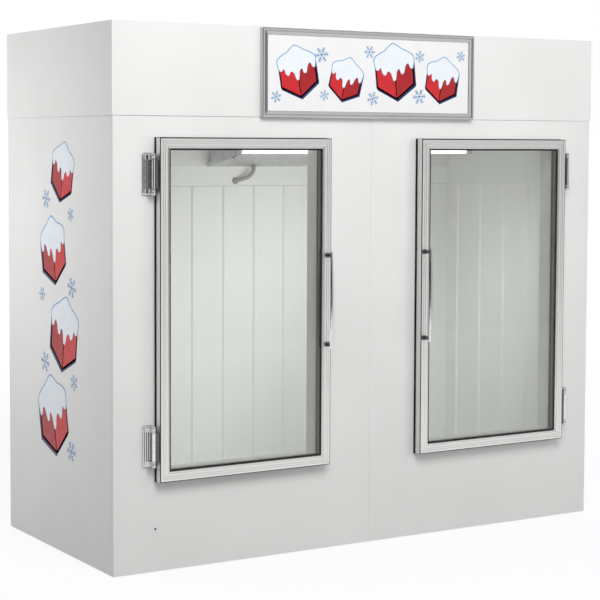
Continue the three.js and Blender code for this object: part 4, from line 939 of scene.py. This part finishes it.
def add_hinge_barrel(node, door, side, pivot, reach, put):
    """The door's half: a bored barrel on the pin, and a dark strap screwed to the frame's edge, whose
    darkness also paints the shade in the gap behind the barrel.
    """
    outer, bore = BARREL_RADIUS, BARREL_BORE
    profile = [(bore, -reach), (outer - 0.7, -reach), (outer, -reach + 0.7)]
    profile += [(outer, reach - 0.7), (outer - 0.7, reach), (bore, reach)]
    form = Form()
    form.turned(profile, pivot, (0, 0, 1), 40, closed=True)
    form.done(f"{node}_barrel", "chrome", node, body=door, sharp=40)
    form = Form()
    strap = reach - 1.5
    web = [(-6.2, 5.6), (-12, 5.2), (-17, 6.2), (-19.4, 7.6), (-19.4, -8), (-17, -6.4)]
    web += [(-12, -5.2), (-6.2, -5.6)]
    form.prism(web, lambda u, w, v: put(u, v, w), -strap, strap)
    loops = []
    for inset, depth in ((0, -21.8), (0, -17.6), (0.8, -16.8)):
        outline = rounded(11 - inset, strap - inset, 3, 4, (-7.6, 0))
        loops.append([put(depth, v, w) for w, v in outline])
    form.loft(loops)
    for height in (-36, 36):
        form.screw(put(-16.9, height, -13), (side, 0, 0), 3.6, 1.6)
    # The strap's dark metal also paints the shade and dark reflection in the gap behind the barrel
    form.done(f"{node}_strap", "dark_chrome_and_painted_shade", node, body=door, sharp=40, bevel=0.4)


def add_hinge(side, level):
    """A cast hinge, whose points are given as (out, height, forward) from its pivot's middle."""
    name = SIDES[side]
    leaf = f"{name}_hinge_{level}_leaf"
    low, high = span(leaf)
    pivot = Vector((side * PIVOT_X, PIVOT_Y, (low.z + high.z) / 2))
    half = (high.z - low.z) / 2

    def put(out, height, forward):
        return (pivot.x + side * out, pivot.y - forward, pivot.z + height)

    add_hinge_leaf(leaf, pivot, half, put)
    reach = half - KNUCKLE - 0.6
    add_hinge_barrel(f"{name}_door_hinge_{level}", f"{name}_door", side, pivot, reach, put)


for side in SIDES:
    for level in ("upper", "lower"):
        add_hinge(side, level)

# ---- sign


def sign_section():
    """The sign's rail: a channel for the panel, a round outer bead, a groove and a sloping lip."""
    depth, face, lip = 22, SIGN_FACE, 14
    points = [(8, 0), (face - 0.8, 0), (face, 0.8), (face, depth - 5)]
    points += arc((face - 5, depth - 5), 5, 0, 90, 6)
    points += [(17.2, depth), (16.0, depth - 1.2), (15.6, depth - 4), (13.4, depth - 4)]
    points += [(13.0, depth - 1.6), (12, depth - 0.9), (3.2, depth - 3.2)]
    points += arc((3.0, depth - 6.2), 3.0, 90, 180, 5)
    points += [(0, lip), (8, lip)]
    return points


def add_sign():
    """The sign's four rails. Its panel stays as packed."""
    members = mitred_members(sign_section(), *frame_place("sign_frame", SIGN_FACE))
    for member, form in members.items():
        form.done(f"sign_{member}_rail", "sign_rail", "sign_frame", sharp=28, bevel=0.25)


add_sign()

# ---- printed ice cubes

ACROSS = 0.866
TOP_CORNERS = ((0, 0), (-ACROSS, 0.5), (0, 1), (ACROSS, 0.5))
LEFT_CORNERS = ((0, 0), (-ACROSS, 0.5), (-ACROSS, -0.5), (0, -1))
RIGHT_CORNERS = ((0, 0), (ACROSS, 0.5), (ACROSS, -0.5), (0, -1))
HEXAGON = ((0, 1), (ACROSS, 0.5), (ACROSS, -0.5), (0, -1), (-ACROSS, -0.5), (-ACROSS, 0.5))
FACE_GAP = 0.035


def shrink(corners):
    """Pulls a face's corners towards its middle, which leaves a dark line between faces."""
    middle = Vector((0, 0))
    for corner in corners:
        middle += Vector(corner) / len(corners)
    arms = [Vector(corner) - middle for corner in corners]
    return [middle + arm * (1 - FACE_GAP / arm.length) for arm in arms]


def snow_outline(spill):
    """A cap of snow on the cube's top face, whose lower edge hangs down in round drips."""
    upper = [(-0.92, 0.50), (-0.86, 0.64), (-0.62, 0.78), (-0.42, 0.84), (-0.20, 1.00)]
    upper += [(0.0, 1.10), (0.22, 1.00), (0.40, 0.88), (0.66, 0.76), (0.86, 0.62), (0.93, 0.48)]
    drips = [(0.90, 0.30), (0.84, 0.16), (0.74, 0.20), (0.66, 0.34), (0.52, 0.26), (0.42, 0.04)]
    drips += [(0.30, 0.02), (0.22, 0.18), (0.10, 0.10), (0.02, -0.16), (-0.10, -0.16)]
    drips += [(-0.18, 0.06), (-0.32, 0.14), (-0.44, 0.02), (-0.56, 0.08), (-0.64, 0.28)]
    drips += [(-0.76, 0.20), (-0.86, 0.24)]
    lowered = [(u, v - spill * (0.5 - v) * 0.6) for u, v in drips]
    points = [Vector((u, v, 0)) for u, v in upper + lowered]
    return [(p.x, p.y) for p in smooth_route([*points, points[0]], 4)[:-1]]


def add_cube(name, middle, size, tilt, spill, put):
    """One printed cube: a dark edge with a shadow, three faces, and a cap of snow."""
    turn = Matrix.Rotation(math.radians(tilt), 2)

    def placed(corners, swell=1.0, shift=(0, 0)):
        at = Vector(shift)
        return [Vector(middle) + turn @ (Vector(c) * size * swell) + at for c in corners]

    cap = snow_outline(spill)
    shadow = (0.05 * size, -0.06 * size)
    layers = {
        "navy": [(placed(HEXAGON, 1.07, shadow), 0), (placed(HEXAGON, 1.055), 0)],
        "deep_red": [(placed(shrink(RIGHT_CORNERS)), 1)],
        "red": [(placed(shrink(LEFT_CORNERS)), 1), (placed(shrink(TOP_CORNERS)), 1)],
        "blue": [(placed(cap, 1.045), 2)],
        "snow": [(placed(cap), 3)],
    }
    for ink, outlines in layers.items():
        form = Form()
        for outline, level in outlines:
            start = PRINT_GAP + level * PRINT
            form.prism(outline, put, start, start + PRINT)
        form.done(f"{name}_{ink}", ink)


def add_snowflake(name, middle, size, tilt, put):
    """A printed snowflake: six arms, each with two pairs of barbs."""
    strokes = [(0, 1.0, 0)]
    for root in (0.42, 0.70):
        strokes += [(root, 0.26, 60), (root, 0.26, -60)]
    form = Form()
    for i in range(6):
        angle = math.radians(tilt + 60 * i)
        along = Vector((math.cos(angle), math.sin(angle)))
        for root, length, lean in strokes:
            start = Vector(middle) + along * (root * size)
            way = Matrix.Rotation(math.radians(lean), 2) @ along
            across = Vector((-way.y, way.x)) * (0.055 * size)
            end = start + way * (length * size)
            outline = [start - across, end - across, end + across, start + across]
            form.prism(outline, put, PRINT_GAP, PRINT_GAP + PRINT)
    form.done(name, "blue")


def add_print(prefix, cubes, flakes, spills, put):
    """Cubes whose caps of snow hang low by turns, and snowflakes: (u, v, size, tilt) of each."""
    for i, (u, v, size, tilt) in enumerate(cubes):
        add_cube(f"{prefix}_cube_{i + 1}", (u, v), size, tilt, spills[i % 2], put)
    for i, (u, v, size, tilt) in enumerate(flakes):
        add_snowflake(f"{prefix}_flake_{i + 1}", (u, v), size, tilt, put)


def add_sign_print():
    """A row of tumbling cubes with snowflakes between them."""
    low, high = span("sign_panel")
    middle = (low + high) / 2
    cubes = ((-360, 4, 98, 10), (-128, -22, 84, -14), (118, 14, 108, 6), (362, -14, 90, -9))
    flakes = ((-246, 78, 34, 8), (-232, -86, 24, 20), (-10, 96, 28, 0), (8, -96, 30, 14))
    flakes += ((246, 84, 26, 25), (244, -84, 34, 5), (462, 92, 24, 12), (-462, -96, 26, 18))

    def put(u, v, w):
        return (middle.x + u, low.y - w, middle.z + v)

    add_print("sign", cubes, flakes, (0.3, 0.5), put)


def add_side_print(side):
    """A cascade of cubes down the cabinet's side, stepping forward and back."""
    cubes = ((-52, 1560, 112, 12), (42, 1238, 128, -10), (-62, 900, 140, 8), (46, 556, 150, -12))
    flakes = ((112, 1450, 42, 6), (-128, 1392, 30, 20), (-138, 1098, 44, 14), (158, 1052, 32, 2))
    flakes += ((128, 770, 46, 10), (-156, 716, 36, 25), (-128, 432, 44, 5))

    def put(u, v, w):
        return (side * (HALF_WIDTH + w), u, v)

    add_print(f"{SIDES[side]}_side", cubes, flakes, (0.2, 0.45), put)


add_sign_print()
for side in SIDES:
    add_side_print(side)

# ---- lamp, drain and fittings inside


def add_lamp_tube():
    """A fluorescent tube with crimped metal caps and two pins at each end."""
    low, high = span("lamp_tube")
    middle = (low + high) / 2
    radius, half = (high.z - low.z) / 2, (high.x - low.x) / 2
    cap, pin_lift = 16, 6.3
    end = [(radius - 0.3, half - cap - 4), (radius - 0.6, half - cap + 3), (radius - 2, half - 3)]
    end.append((0, half - 3))
    form = Form()
    form.turned(both_ends(end), middle, (1, 0, 0), 40)
    form.done("lamp_tube_glass", "lamp", "lamp_tube")
    form = Form()
    profile = [(0, half - cap), (radius - 1.4, half - cap), (radius, half - cap), (radius, half - 6)]
    profile += [(radius - 0.5, half - 5.4), (radius - 0.5, half - 4.6), (radius, half - 4)]
    profile += [(radius - 0.4, half - 2), (radius - 2, half - 1), (0, half - 1)]
    for way in ((-1, 0, 0), (1, 0, 0)):
        form.turned(profile, middle, way)
        for lift in (-pin_lift, pin_lift):
            form.disc(1.2, half - 2, half, middle + Vector((0, 0, lift)), way, 10)
    form.done("lamp_tube_caps", "fin", bevel=0.2)


def add_drain_tube():
    """A moulded tube from the pan's low edge to a flared flange on the rear wall."""
    low, high = span("drain_tube")
    radius, flange = 9, 16.2
    start = Vector((high.x - radius, high.y - 33.7, high.z - 0.4))
    end = Vector((low.x + flange, high.y - radius, low.z + flange))
    drop = start.z - end.z
    points = [
        start,
        start + Vector((0, 1, -0.3 * drop)),
        (start.x - 23.4, start.y + 6, start.z - 0.72 * drop),
        (end.x + 12.5, end.y - 4, end.z + 4),
        end,
    ]
    form = Form()
    form.tube(smooth_route(points, 10), radius, 28)
    profile = [(0, 0), (flange, 0), (flange, 2.2), (flange - 0.8, 3), (13.4, 3.6), (11.4, 6.5)]
    profile += [(10.2, 10), (9.9, 13.5), (0, 13.5)]
    form.turned(profile, (end.x, high.y, end.z), (0, -1, 0), 40)
    collar = [(0, 0), (11.4, 0), (11.6, 0.6), (11.6, 7.4), (11, 8), (0, 8)]
    form.turned(collar, start, (0, 0, -1))
    form.done("drain_elbow", "grey", "drain_tube", sharp=50)


def add_cove():
    """A darker folded strip across the top of the rear wall, which paints the shade there, and a bead
    of sealant along the seam below, which also paints the seam's shadow line.
    """
    ceiling, low, front, wall = CEILING - 2, 1573, 434, 439.6
    outline = [(wall, ceiling), (front, ceiling), (front, low + 1), (front + 1, low), (wall, low)]
    outline += [(wall, low + 1.2), (front + 1.6, low + 1.2), (front + 1.2, low + 1.6)]
    outline += [(front + 1.2, ceiling - 1.2), (wall, ceiling - 1.2)]
    bead = [(440.3, 1481.6), (438.7, 1482.4), (438.3, 1483.8), (438.9, 1485.2), (440.3, 1486)]
    end = span("rear_liner")[1].x - 9
    # The strip is a darker grey than the liner: painted shade across the top of the rear wall
    form = Form()
    form.prism(outline, lambda u, v, w: (w, u, v), -end, end)
    form.done("rear_painted_shade_strip", "painted_shade_strip", bevel=0.2)
    # The bead's grey is darker than the liner: sealant, and a painted shadow line along the lap seam
    form = Form()
    form.prism(bead, lambda u, v, w: (w, u, v), -end, end)
    form.done("rear_seam_shadow_bead", "pale")


def add_pan_knob():
    """The thumb nut that holds the drip pan at its left edge."""
    at = (span("drip_pan")[0].x + 0.1, 178, 1618.5)
    nut = [(0, 0), (4.6, 0), (4.6, 1.8), (6.6, 2.4), (6.6, 7.6), (5.8, 8.6), (0, 8.6)]
    form = Form()
    form.turned(nut, at, (-1, 0, 0), 24)
    form.done("pan_knob", "grey", sharp=50)


def add_floor_drain():
    """A round strainer in the floor: a rim, bars, and a black disc under them that paints the shade
    of the drain's well.
    """
    x, y, z = 0, 210, FLOOR_TOP
    radius, pitch, half_bar = 37, 10, 2
    rim = [(36, 0), (47, 0), (46, 1.2), (44, 1.8), (36, 1.8)]
    form = Form()
    form.turned(rim, (x, y, z), (0, 0, 1), 48, closed=True)
    for i in range(-3, 4):
        middle = x + i * pitch
        half = math.sqrt(radius ** 2 - (i * pitch) ** 2)
        form.box((middle - half_bar, y - half, z + 0.3), (middle + half_bar, y + half, z + 1.5))
    form.done("floor_strainer", "chrome", bevel=0.2)
    # A black disc just above the floor, which paints the shade down the drain's well
    form = Form()
    form.disc(radius, 0.05, 0.25, (x, y, z), (0, 0, 1), 48)
    form.done("floor_strainer_painted_shade", "rubber")


add_lamp_tube()
add_drain_tube()
add_cove()
add_pan_knob()
add_floor_drain()

# ---- fans


def fan_blade(form, at, radius, root, depth, turn):
    """One cambered blade whose chord widens outwards and whose pitch eases from root to tip."""
    stations, around = 10, 8
    faces = [(k / around, 1) for k in range(around)] + [(1 - k / around, -1) for k in range(around)]
    loops = []
    for i in range(stations + 1):
        t = i / stations
        reach = root + (radius - root) * t
        pitch = 0.75 - 0.33 * t
        half = depth * 0.6 * (1 + 0.42 * t)
        half *= 1 if t < 0.8 else math.sqrt(max(0.12, 1 - ((t - 0.8) / 0.225) ** 2))
        half = min(half, depth * 0.485 / math.sin(pitch))
        loop = []
        for share, face in faces:
            chord = (2 * share - 1) * half
            swell = 1 - (2 * share - 1) ** 2
            lift = 0.10 * half * swell + face * (0.25 + 0.016 * radius * swell) * (1 - 0.5 * t)
            angle = turn + (chord * math.cos(pitch) - lift * math.sin(pitch)) / reach
            axial = chord * math.sin(pitch) + lift * math.cos(pitch)
            axial = max(-depth / 2, min(depth / 2, axial))
            out = Vector((reach * math.cos(angle), axial, reach * math.sin(angle)))
            loop.append(at + out)
        loops.append(loop)
    form.loft(loops)


def add_fan(name, radius, depth, height, hub, shaft):
    """A moulded fan on its shaft, turning about an axis along Y at the given height."""
    low, high = span(name)
    at = Vector(((low.x + high.x) / 2, low.y + depth / 2, height))
    half = depth / 2
    axis = (0, 1, 0)
    form = Form()
    for i in range(FAN_BLADES):
        fan_blade(form, at, radius, hub * 0.85, depth, 2 * math.pi * i / FAN_BLADES)
    profile = [(0, -half), (hub * 0.55, -half), (hub * 0.8, -half * 0.94), (hub * 0.95, -half * 0.8)]
    profile += [(hub, -half * 0.55), (hub, half * 0.8), (hub * 0.94, half * 0.94), (hub * 0.8, half)]
    profile += [(shaft * 1.9, half), (shaft * 1.9, half * 0.7), (0, half * 0.7)]
    form.turned(profile, at, axis, 48)
    form.done(f"{name}_rotor", "grey", name, body=name, sharp=45)
    form = Form()
    form.disc(shaft, half * 0.6, high.y - at.y, at, axis)
    form.disc(shaft * 1.6, -half - 0.01, -half * 0.7, at, axis, 6)
    form.done(f"{name}_spindle", "fin", body=name, bevel=0.2)


add_fan("condenser_fan", 110, 34, CONDENSER_FAN_Z, 28, 5)
add_fan("evaporator_fan", 40, 18, EVAPORATOR_FAN_Z, 13.5, 3)

# ---- finned coils


def add_coil(node, name, pitch, rows, levels):
    """Thin plate fins on copper tubes that turn back at each end, between two end plates."""
    low, high = span(node)
    margin, half_fin, plate, overrun = 13, 0.175, 0.8, 3
    first, last = low.x + margin, high.x - margin
    count = int((last - first) / pitch)
    form = Form()
    for i in range(count + 1):
        x = first + (last - first) * i / count
        form.box((x - half_fin, low.y + 1, low.z + 1), (x + half_fin, high.y - 1, high.z - 1))
    form.done(f"{name}_fins", "fin", node)
    form = Form()
    for x in (first - 2 * plate, last + plate):
        form.box((x, low.y, low.z), (x + plate, high.y, high.z))
    form.done(f"{name}_end_plates", "galvanised", bevel=0.15)
    depth, height = high.y - low.y, high.z - low.z
    bend = height / levels / 2
    radius = min(4.8, bend * 0.42)
    heights = [low.z + height * (k + 0.5) / levels for k in range(levels)]
    angles = [-math.pi / 2 + math.pi * step / 12 for step in range(13)]
    form = Form()
    for row in range(rows):
        y = low.y + depth * (row + 0.5) / rows
        for z in heights:
            form.disc(radius, 0, last - first + 2 * overrun, (first - overrun, y, z), (1, 0, 0), 14)
        for way, x, start in ((-1, first - overrun, 0), (1, last + overrun, 1)):
            reach = way * (margin - overrun - radius)
            for k in range(start, levels - 1, 2):
                middle = (heights[k] + heights[k + 1]) / 2
                points = [(x + reach * math.cos(a), y, middle + bend * math.sin(a)) for a in angles]
                form.tube(points, radius, 14)
    form.done(f"{name}_tubes", "copper", sharp=60)


add_coil("condenser_coil", "condenser", 3.2, 2, 10)
add_coil("evaporator_coil", "evaporator", 5.0, 4, 4)

# ---- machines on the roof


def compressor_turns():
    """The directions of the compressor's three feet, as the cosine and sine of each."""
    turns = [2 * math.pi * i / 3 for i in range(3)]
    return [(math.cos(turn), math.sin(turn)) for turn in turns]


def add_compressor():
    """A welded-shell compressor on rubber feet, with its terminal cover."""
    low, high = span("compressor")
    at = Vector((COMPRESSOR_X, COMPRESSOR_Y, low.z))
    radius, height = COMPRESSOR_RADIUS, high.z - low.z
    seam = height * 0.55
    profile = [(0, 19.8), (42, 20.4), (62, 22.5), (76, 27), (86, 35), (91, 46), (radius, 58)]
    profile += [(radius, seam - 5), (radius + 3.4, seam - 4), (radius + 5, seam - 2.4)]
    profile += [(radius + 5, seam + 2.4), (radius + 3.4, seam + 4), (radius, seam + 5)]
    profile += [(radius, height - 58), (90.6, height - 44), (86, height - 31), (77, height - 19)]
    profile += [(64, height - 9.5), (48, height - 4), (26, height - 0.8), (0, height)]
    form = Form()
    form.turned(profile, at, (0, 0, 1), 64)
    for cos, sin in compressor_turns():
        ear = [(u * cos - v * sin, u * sin + v * cos) for u, v in rounded(29, 14, 12, 5, (75, 0))]
        form.prism(ear, lambda u, v, w: at + Vector((u, v, w)), 12.6, 16)
    quarter = radius / 4
    cover = (at.x - quarter, at.y - radius - quarter, at.z + height * 0.35)
    form.box(cover, (at.x + quarter, at.y - radius / 2, at.z + height * 0.72))
    form.done("compressor_shell", "black", "compressor", sharp=40, bevel=1.5)
    pad = [(0, 0), (9, 0), (9.1, 2), (7.4, 5), (7.4, 8), (9.1, 11), (9, 12.5), (0, 12.5)]
    form = Form()
    for cos, sin in compressor_turns():
        form.turned(pad, at + Vector((radius * cos, radius * sin, 0)), (0, 0, 1), 24)
    form.done("compressor_feet", "rubber")


def add_receiver():
    """A liquid receiver: a steel cylinder with domed ends and two rolled beads, on two feet."""
    low, high = span("receiver_tank")
    radius = 48
    middle = Vector(((low.x + high.x) / 2, (low.y + high.y) / 2, high.z - radius))
    half = (high.x - low.x) / 2
    end = [(radius, 65), (radius + 0.9, 66), (radius + 0.9, 69), (radius, 70), (radius, half - 27)]
    end += [(47, half - 19), (42, half - 11), (31, half - 4.4), (16, half - 0.8), (0, half)]
    end = [(min(r, radius), h) for r, h in end]
    form = Form()
    form.turned(both_ends(end), middle, (1, 0, 0), 56)
    foot = [(-40, 0), (40, 0), (40, 3), (34, 3), (30, 18), (26, 24), (-26, 24), (-30, 18)]
    foot += [(-34, 3), (-40, 3)]
    for x in (middle.x - half * 0.5, middle.x + half * 0.5):
        form.prism(foot, lambda u, v, w: (w, middle.y + u, low.z + v), x - 11, x + 11)
    form.done("receiver_shell", "black", "receiver_tank", sharp=40, bevel=0.8)


def add_pipes():
    """The copper pipes between the machines and down through the roof, with drier and sleeves."""
    roof = span("condenser_base")[0].z + 2.3
    head = span("compressor")[1].z
    coil, coil_end = span("condenser_coil")
    tank, tank_end = span("receiver_tank")
    near_x, near_y = COMPRESSOR_X, COMPRESSOR_Y
    top, side_port = head + 30, head - 60
    coil_y, coil_in, coil_out = coil.y + 13, coil_end.z - 15, coil.z + 15
    tank_y, tank_port, over = tank.y + 48, tank_end.z - 48, tank_end.z + 34
    down_x, feed_y, suction_y = tank.x - 40, tank.y + 136, tank.y + 176
    near, far = coil.x - 12, coil_end.x + 60
    moves = ("z", top), ("x", near_x - 30), ("y", coil_y), ("x", near), ("z", coil_in)
    start = (near_x + 40, near_y + 50, head - 22)
    discharge = axis_route(start, *moves, ("x", coil.x + 8))
    moves = ("x", coil_end.x + 14), ("y", tank_y), ("x", far), ("z", tank_port)
    liquid = axis_route((coil_end.x - 8, coil_y, coil_out), *moves, ("x", tank_end.x - 2))
    moves = ("z", over), ("y", feed_y), ("x", down_x), ("z", roof)
    feed = axis_route((tank.x + 60, tank_y, tank_end.z - 6), *moves)
    moves = ("z", side_port), ("x", near_x + 70), ("y", near_y)
    suction = axis_route((down_x, suction_y, roof), *moves)
    suction.append((near_x + 60, near_y - 10, side_port))
    form = Form()
    form.tube(bent_route(discharge, 14), 4.8, 16)
    form.tube(bent_route(liquid, 12), 4.0, 16)
    form.tube(bent_route(feed, 12), 3.4, 16)
    form.tube(bent_route(suction, 18), 7.0, 18)
    form.done("refrigerant_pipes", "copper", sharp=60)
    drier = [(0, 0), (5, 0), (5.4, 8), (9, 14), (14, 20), (15, 24), (15, 62), (14, 66)]
    drier = [(r, h * 0.72) for r, h in drier] + [(9, 52), (5.4, 56), (5, 60), (0, 60)]
    sleeve = [(0, 0), (17, 0), (17, 1.5), (13, 3), (12, 9), (11, 10), (0, 10)]
    form = Form()
    form.turned(drier, (tank.x + 60, tank.y + 66, over), (0, 1, 0), 36)
    for y in (feed_y, suction_y):
        form.turned(sleeve, (down_x, y, roof - 0.3), (0, 0, 1))
    form.done("drier_and_sleeves", "black", sharp=40)


def add_fan_guard():
    """A wire guard in front of the condenser fan: rings on spokes that bend back to the cowl."""
    cowl = span("fan_shroud")[0].y
    plane = span("condenser_fan")[0].y - 6.5
    wire, spokes, inner, outer, foot = 1.5, 8, 52, 122, 128
    axis = Vector((0, 0, CONDENSER_FAN_Z))
    angles = [2 * math.pi * i / 64 for i in range(64)]
    form = Form()
    for radius in range(inner, outer + 1, 14):
        points = [(radius * math.cos(a), plane, axis.z + radius * math.sin(a)) for a in angles]
        form.tube(points, wire, 8, closed=True)
    behind = plane + 2.6
    for i in range(spokes):
        a = 2 * math.pi * (i + 0.5) / spokes
        out = Vector((math.cos(a), 0, math.sin(a)))
        route = [(inner, behind), (outer, behind), (foot, behind), (foot, cowl + 0.5)]
        points = [Vector((0, y, axis.z)) + out * reach for reach, y in route]
        form.tube(bent_route(points, 4), wire, 8)
    form.done("condenser_fan_guard", "chrome")


def add_rear_screws():
    """Screws down the hems, along the top and foot of the rear sheet, and round the header."""
    form = Form()
    for side in SIDES:
        for i in range(8):
            form.screw((side * (HALF_WIDTH - HEM / 2), REAR, 70 + 238 * i), (0, 1, 0))
        for x in (420, 760, 1150):
            for z in (1812, 2120):
                form.screw((side * x, -FRONT + HEADER_PROUD, z), (0, 1, 0))
        for x in (200, 600, 1000):
            for z in (40, BODY_TOP - 14):
                form.screw((side * x, REAR, z), (0, 1, 0))
    form.done("rear_screws", "galvanised")


def add_unit_bolts():
    """Bolts at the tray's corners, nuts on the compressor's studs, and screws in the control box."""
    up = (0, 0, 1)
    form = Form()
    low, high = span("condenser_base")
    for x in (low.x + 22, high.x - 22):
        for y in (low.y + 22, high.y - 22):
            form.disc(11, 2, 3.6, (x, y, low.z), up)
            form.disc(7, 3.6, 9, (x, y, low.z), up, 6)
    base, arm = span("compressor")[0].z, COMPRESSOR_RADIUS
    for cos, sin in compressor_turns():
        foot = (COMPRESSOR_X + arm * cos, COMPRESSOR_Y + arm * sin, base)
        form.disc(7.5, 16, 17.4, foot, up)
        form.disc(5.6, 17.4, 22, foot, up, 6)
        form.turned([(0, 22), (3, 22), (3, 27), (2.4, 27.6), (0, 27.6)], foot, up, 16)
    low, high = span("control_box")
    lid = 175
    for x in (low.x + 9, high.x - 9):
        for z in (low.z + 12, high.z - 12):
            form.screw((x, lid, z), (0, -1, 0), 4)
    form.done("unit_bolts", "galvanised", bevel=0.3)


def add_rating_plate():
    """A blank plate on the rear sheet, held by four rivets."""
    x, z, half_width, half_height = -980, 1500, 60, 38
    head = [(0, 0.8), (3, 0.8), (2.6, 1.8), (1.4, 2.4), (0, 2.6)]
    low = Vector((x - half_width, REAR + 0.02, z - half_height))
    high = Vector((x + half_width, REAR + 0.8, z + half_height))
    form = Form()
    form.box(low, high)
    for rivet_x in (low.x + 7, high.x - 7):
        for rivet_z in (low.z + 7, high.z - 7):
            form.turned(head, (rivet_x, REAR, rivet_z), (0, 1, 0), 16)
    form.done("rating_plate", "fin", bevel=0.2)


def add_front_plug():
    """A small plug low on the front, under the left door."""
    plug = [(0, 0), (5, 0), (5, 0.7), (4.2, 1.4), (2.4, 1.8), (0, 1.9)]
    form = Form()
    form.turned(plug, (-1012, FRONT, 172), (0, -1, 0), 24)
    form.done("front_plug", "grey")


add_compressor()
add_receiver()
add_pipes()
add_fan_guard()
add_rear_screws()
add_unit_bolts()
add_rating_plate()
add_front_plug()

# ---- camera, lamps and floor


def add_camera():
    """The photograph's view: a long lens at eye height, to the left of the cabinet."""
    data = bpy.data.cameras.new("camera")
    camera = add_object("camera", data)
    data.sensor_width = 36
    data.lens = 101.52
    data.shift_x, data.shift_y = 0.06, -0.09
    data.clip_start, data.clip_end = 0.1, 100
    yaw, pitch, roll = (math.radians(a) for a in (30.873, -3.396, 0.173))
    across = math.cos(pitch)
    ahead = Vector((math.sin(yaw) * across, math.cos(yaw) * across, math.sin(pitch)))
    right = Vector((math.cos(yaw), -math.sin(yaw), 0))
    up = right.cross(ahead)
    rolled_right = right * math.cos(roll) + up * math.sin(roll)
    rolled_up = up * math.cos(roll) - right * math.sin(roll)
    turn = Matrix((rolled_right, rolled_up, -ahead)).transposed()
    camera.matrix_world = Matrix.Translation((-4.0081, -6.349, 1.6713)) @ turn.to_4x4()
    bpy.context.scene.camera = camera


def add_lamp(name, at, aim, size, power):
    """A soft rectangular lamp that lights the object but isn't seen, nor mirrored."""
    data = bpy.data.lights.new(name, "AREA")
    data.shape = "RECTANGLE"
    data.size, data.size_y = size
    data.energy = power
    lamp = add_object(name, data)
    lamp.location = at
    lamp.rotation_euler = (Vector(aim) - Vector(at)).to_track_quat("-Z", "Y").to_euler()
    lamp.visible_camera = False
    lamp.visible_glossy = False


def add_world():
    """Even light from all round, with white where the camera or a pane looks past the object.

    Metal mirrors a room that is white in front and greyer towards the right, with dark cards at the
    left, at the right and overhead, which draw dark lines along round edges.
    """
    world = bpy.data.worlds.new("studio")
    bpy.context.scene.world = world
    world.use_nodes = True
    tree = world.node_tree
    tree.nodes.remove(tree.nodes["Background"])

    def background(strength):
        inputs = {"Color": (1, 1, 1, 1), "Strength": strength}
        return add_node(tree, "ShaderNodeBackground", inputs)

    way = add_node(tree, "ShaderNodeTexCoord").outputs["Generated"]
    rightward = add_node(tree, "ShaderNodeSeparateXYZ", {0: way}).outputs["X"]
    tone = spread(tree, rightward, 0.88, 1, 0.2, -0.5)
    for toward, inner, outer in DARK_CARDS:
        inputs = {0: way, 1: Vector(toward).normalized()}
        facing = add_node(tree, "ShaderNodeVectorMath", inputs, operation="DOT_PRODUCT")
        edges = (math.cos(math.radians(angle)) for angle in (outer, inner))
        shade = spread(tree, facing.outputs["Value"], 1, CARD_TONE, *edges)
        tone = math_node(tree, "MULTIPLY", tone, shade)
    glossy = ray_share(tree, "Is Glossy Ray")
    lit = mix_shaders(tree, glossy, background(AMBIENT), background(tone))
    seen = ray_share(tree, "Is Camera Ray", "Is Transmission Ray")
    shown = mix_shaders(tree, seen, lit, background(1))
    tree.links.new(shown.outputs[0], tree.nodes["World Output"].inputs["Surface"])


def floor_material():
    """A pale floor that shows as white where no shadow lies on it, and fades to white far off."""
    material, tree, output = bare_material("studio_floor")
    matt = add_node(tree, "ShaderNodeBsdfDiffuse", {"Color": (0.34, 0.34, 0.34, 1)})
    pale = add_node(tree, "ShaderNodeBsdfDiffuse", {"Color": (0.95, 0.95, 0.95, 1)})
    glow = add_node(tree, "ShaderNodeEmission", {"Color": (1, 1, 1, 1), "Strength": 1})
    seen = ray_share(tree, "Is Camera Ray", "Is Glossy Ray", "Is Transmission Ray")
    reach = add_node(tree, "ShaderNodeVectorMath", {0: place(tree)}, operation="LENGTH")
    white = spread(tree, reach.outputs["Value"], FLOOR_WHITE, 1, *FLOOR_FADE)
    shown = mix_shaders(tree, seen, matt, mix_shaders(tree, white, pale, glow))
    tree.links.new(shown.outputs[0], output.inputs["Surface"])
    return material


def add_floor():
    """A square of floor, half a millimetre under the cabinet."""
    data = bpy.data.meshes.new("studio_floor")
    corners = [(x * FLOOR_HALF, y * FLOOR_HALF, 0) for x, y in RING_CORNERS]
    data.from_pydata(corners, [], [(0, 1, 2, 3)])
    data.materials.append(floor_material())
    floor = add_object("studio_floor", data)
    floor.location.z = -0.5 * MM
    floor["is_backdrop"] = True


add_camera()
add_world()
add_floor()
add_lamp("key", (-1.5, -4.5, 4.6), (-0.3, 0, 1.4), (4.0, 2.5), 230)
add_lamp("right", (3.4, -4.2, 1.7), (1.0, 0, 1.0), (2.5, 2.0), 48)
add_lamp("fill", (-2.7, 0.75, 1.55), (-1.2, 0.3, 1.4), (0.9, 0.8), 17)
add_lamp("rear", (2.5, 4.5, 4.4), (0, 0, 1.2), (4.0, 2.5), 120)
add_lamp("side", (4.4, 0.5, 2.3), (1.2, 0, 1.1), (2.0, 2.0), 28)
add_lamp("inner", (0, -0.42, 1.15), (0, 0.44, 1.1), (1.6, 0.6), 9.0)
bpy.context.scene.view_settings.view_transform = "Standard"

VISUAL_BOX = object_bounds()
boxes = {"cad": CAD_BOX, "visual": VISUAL_BOX}
{name: [list(corner) for corner in box] for name, box in boxes.items()}
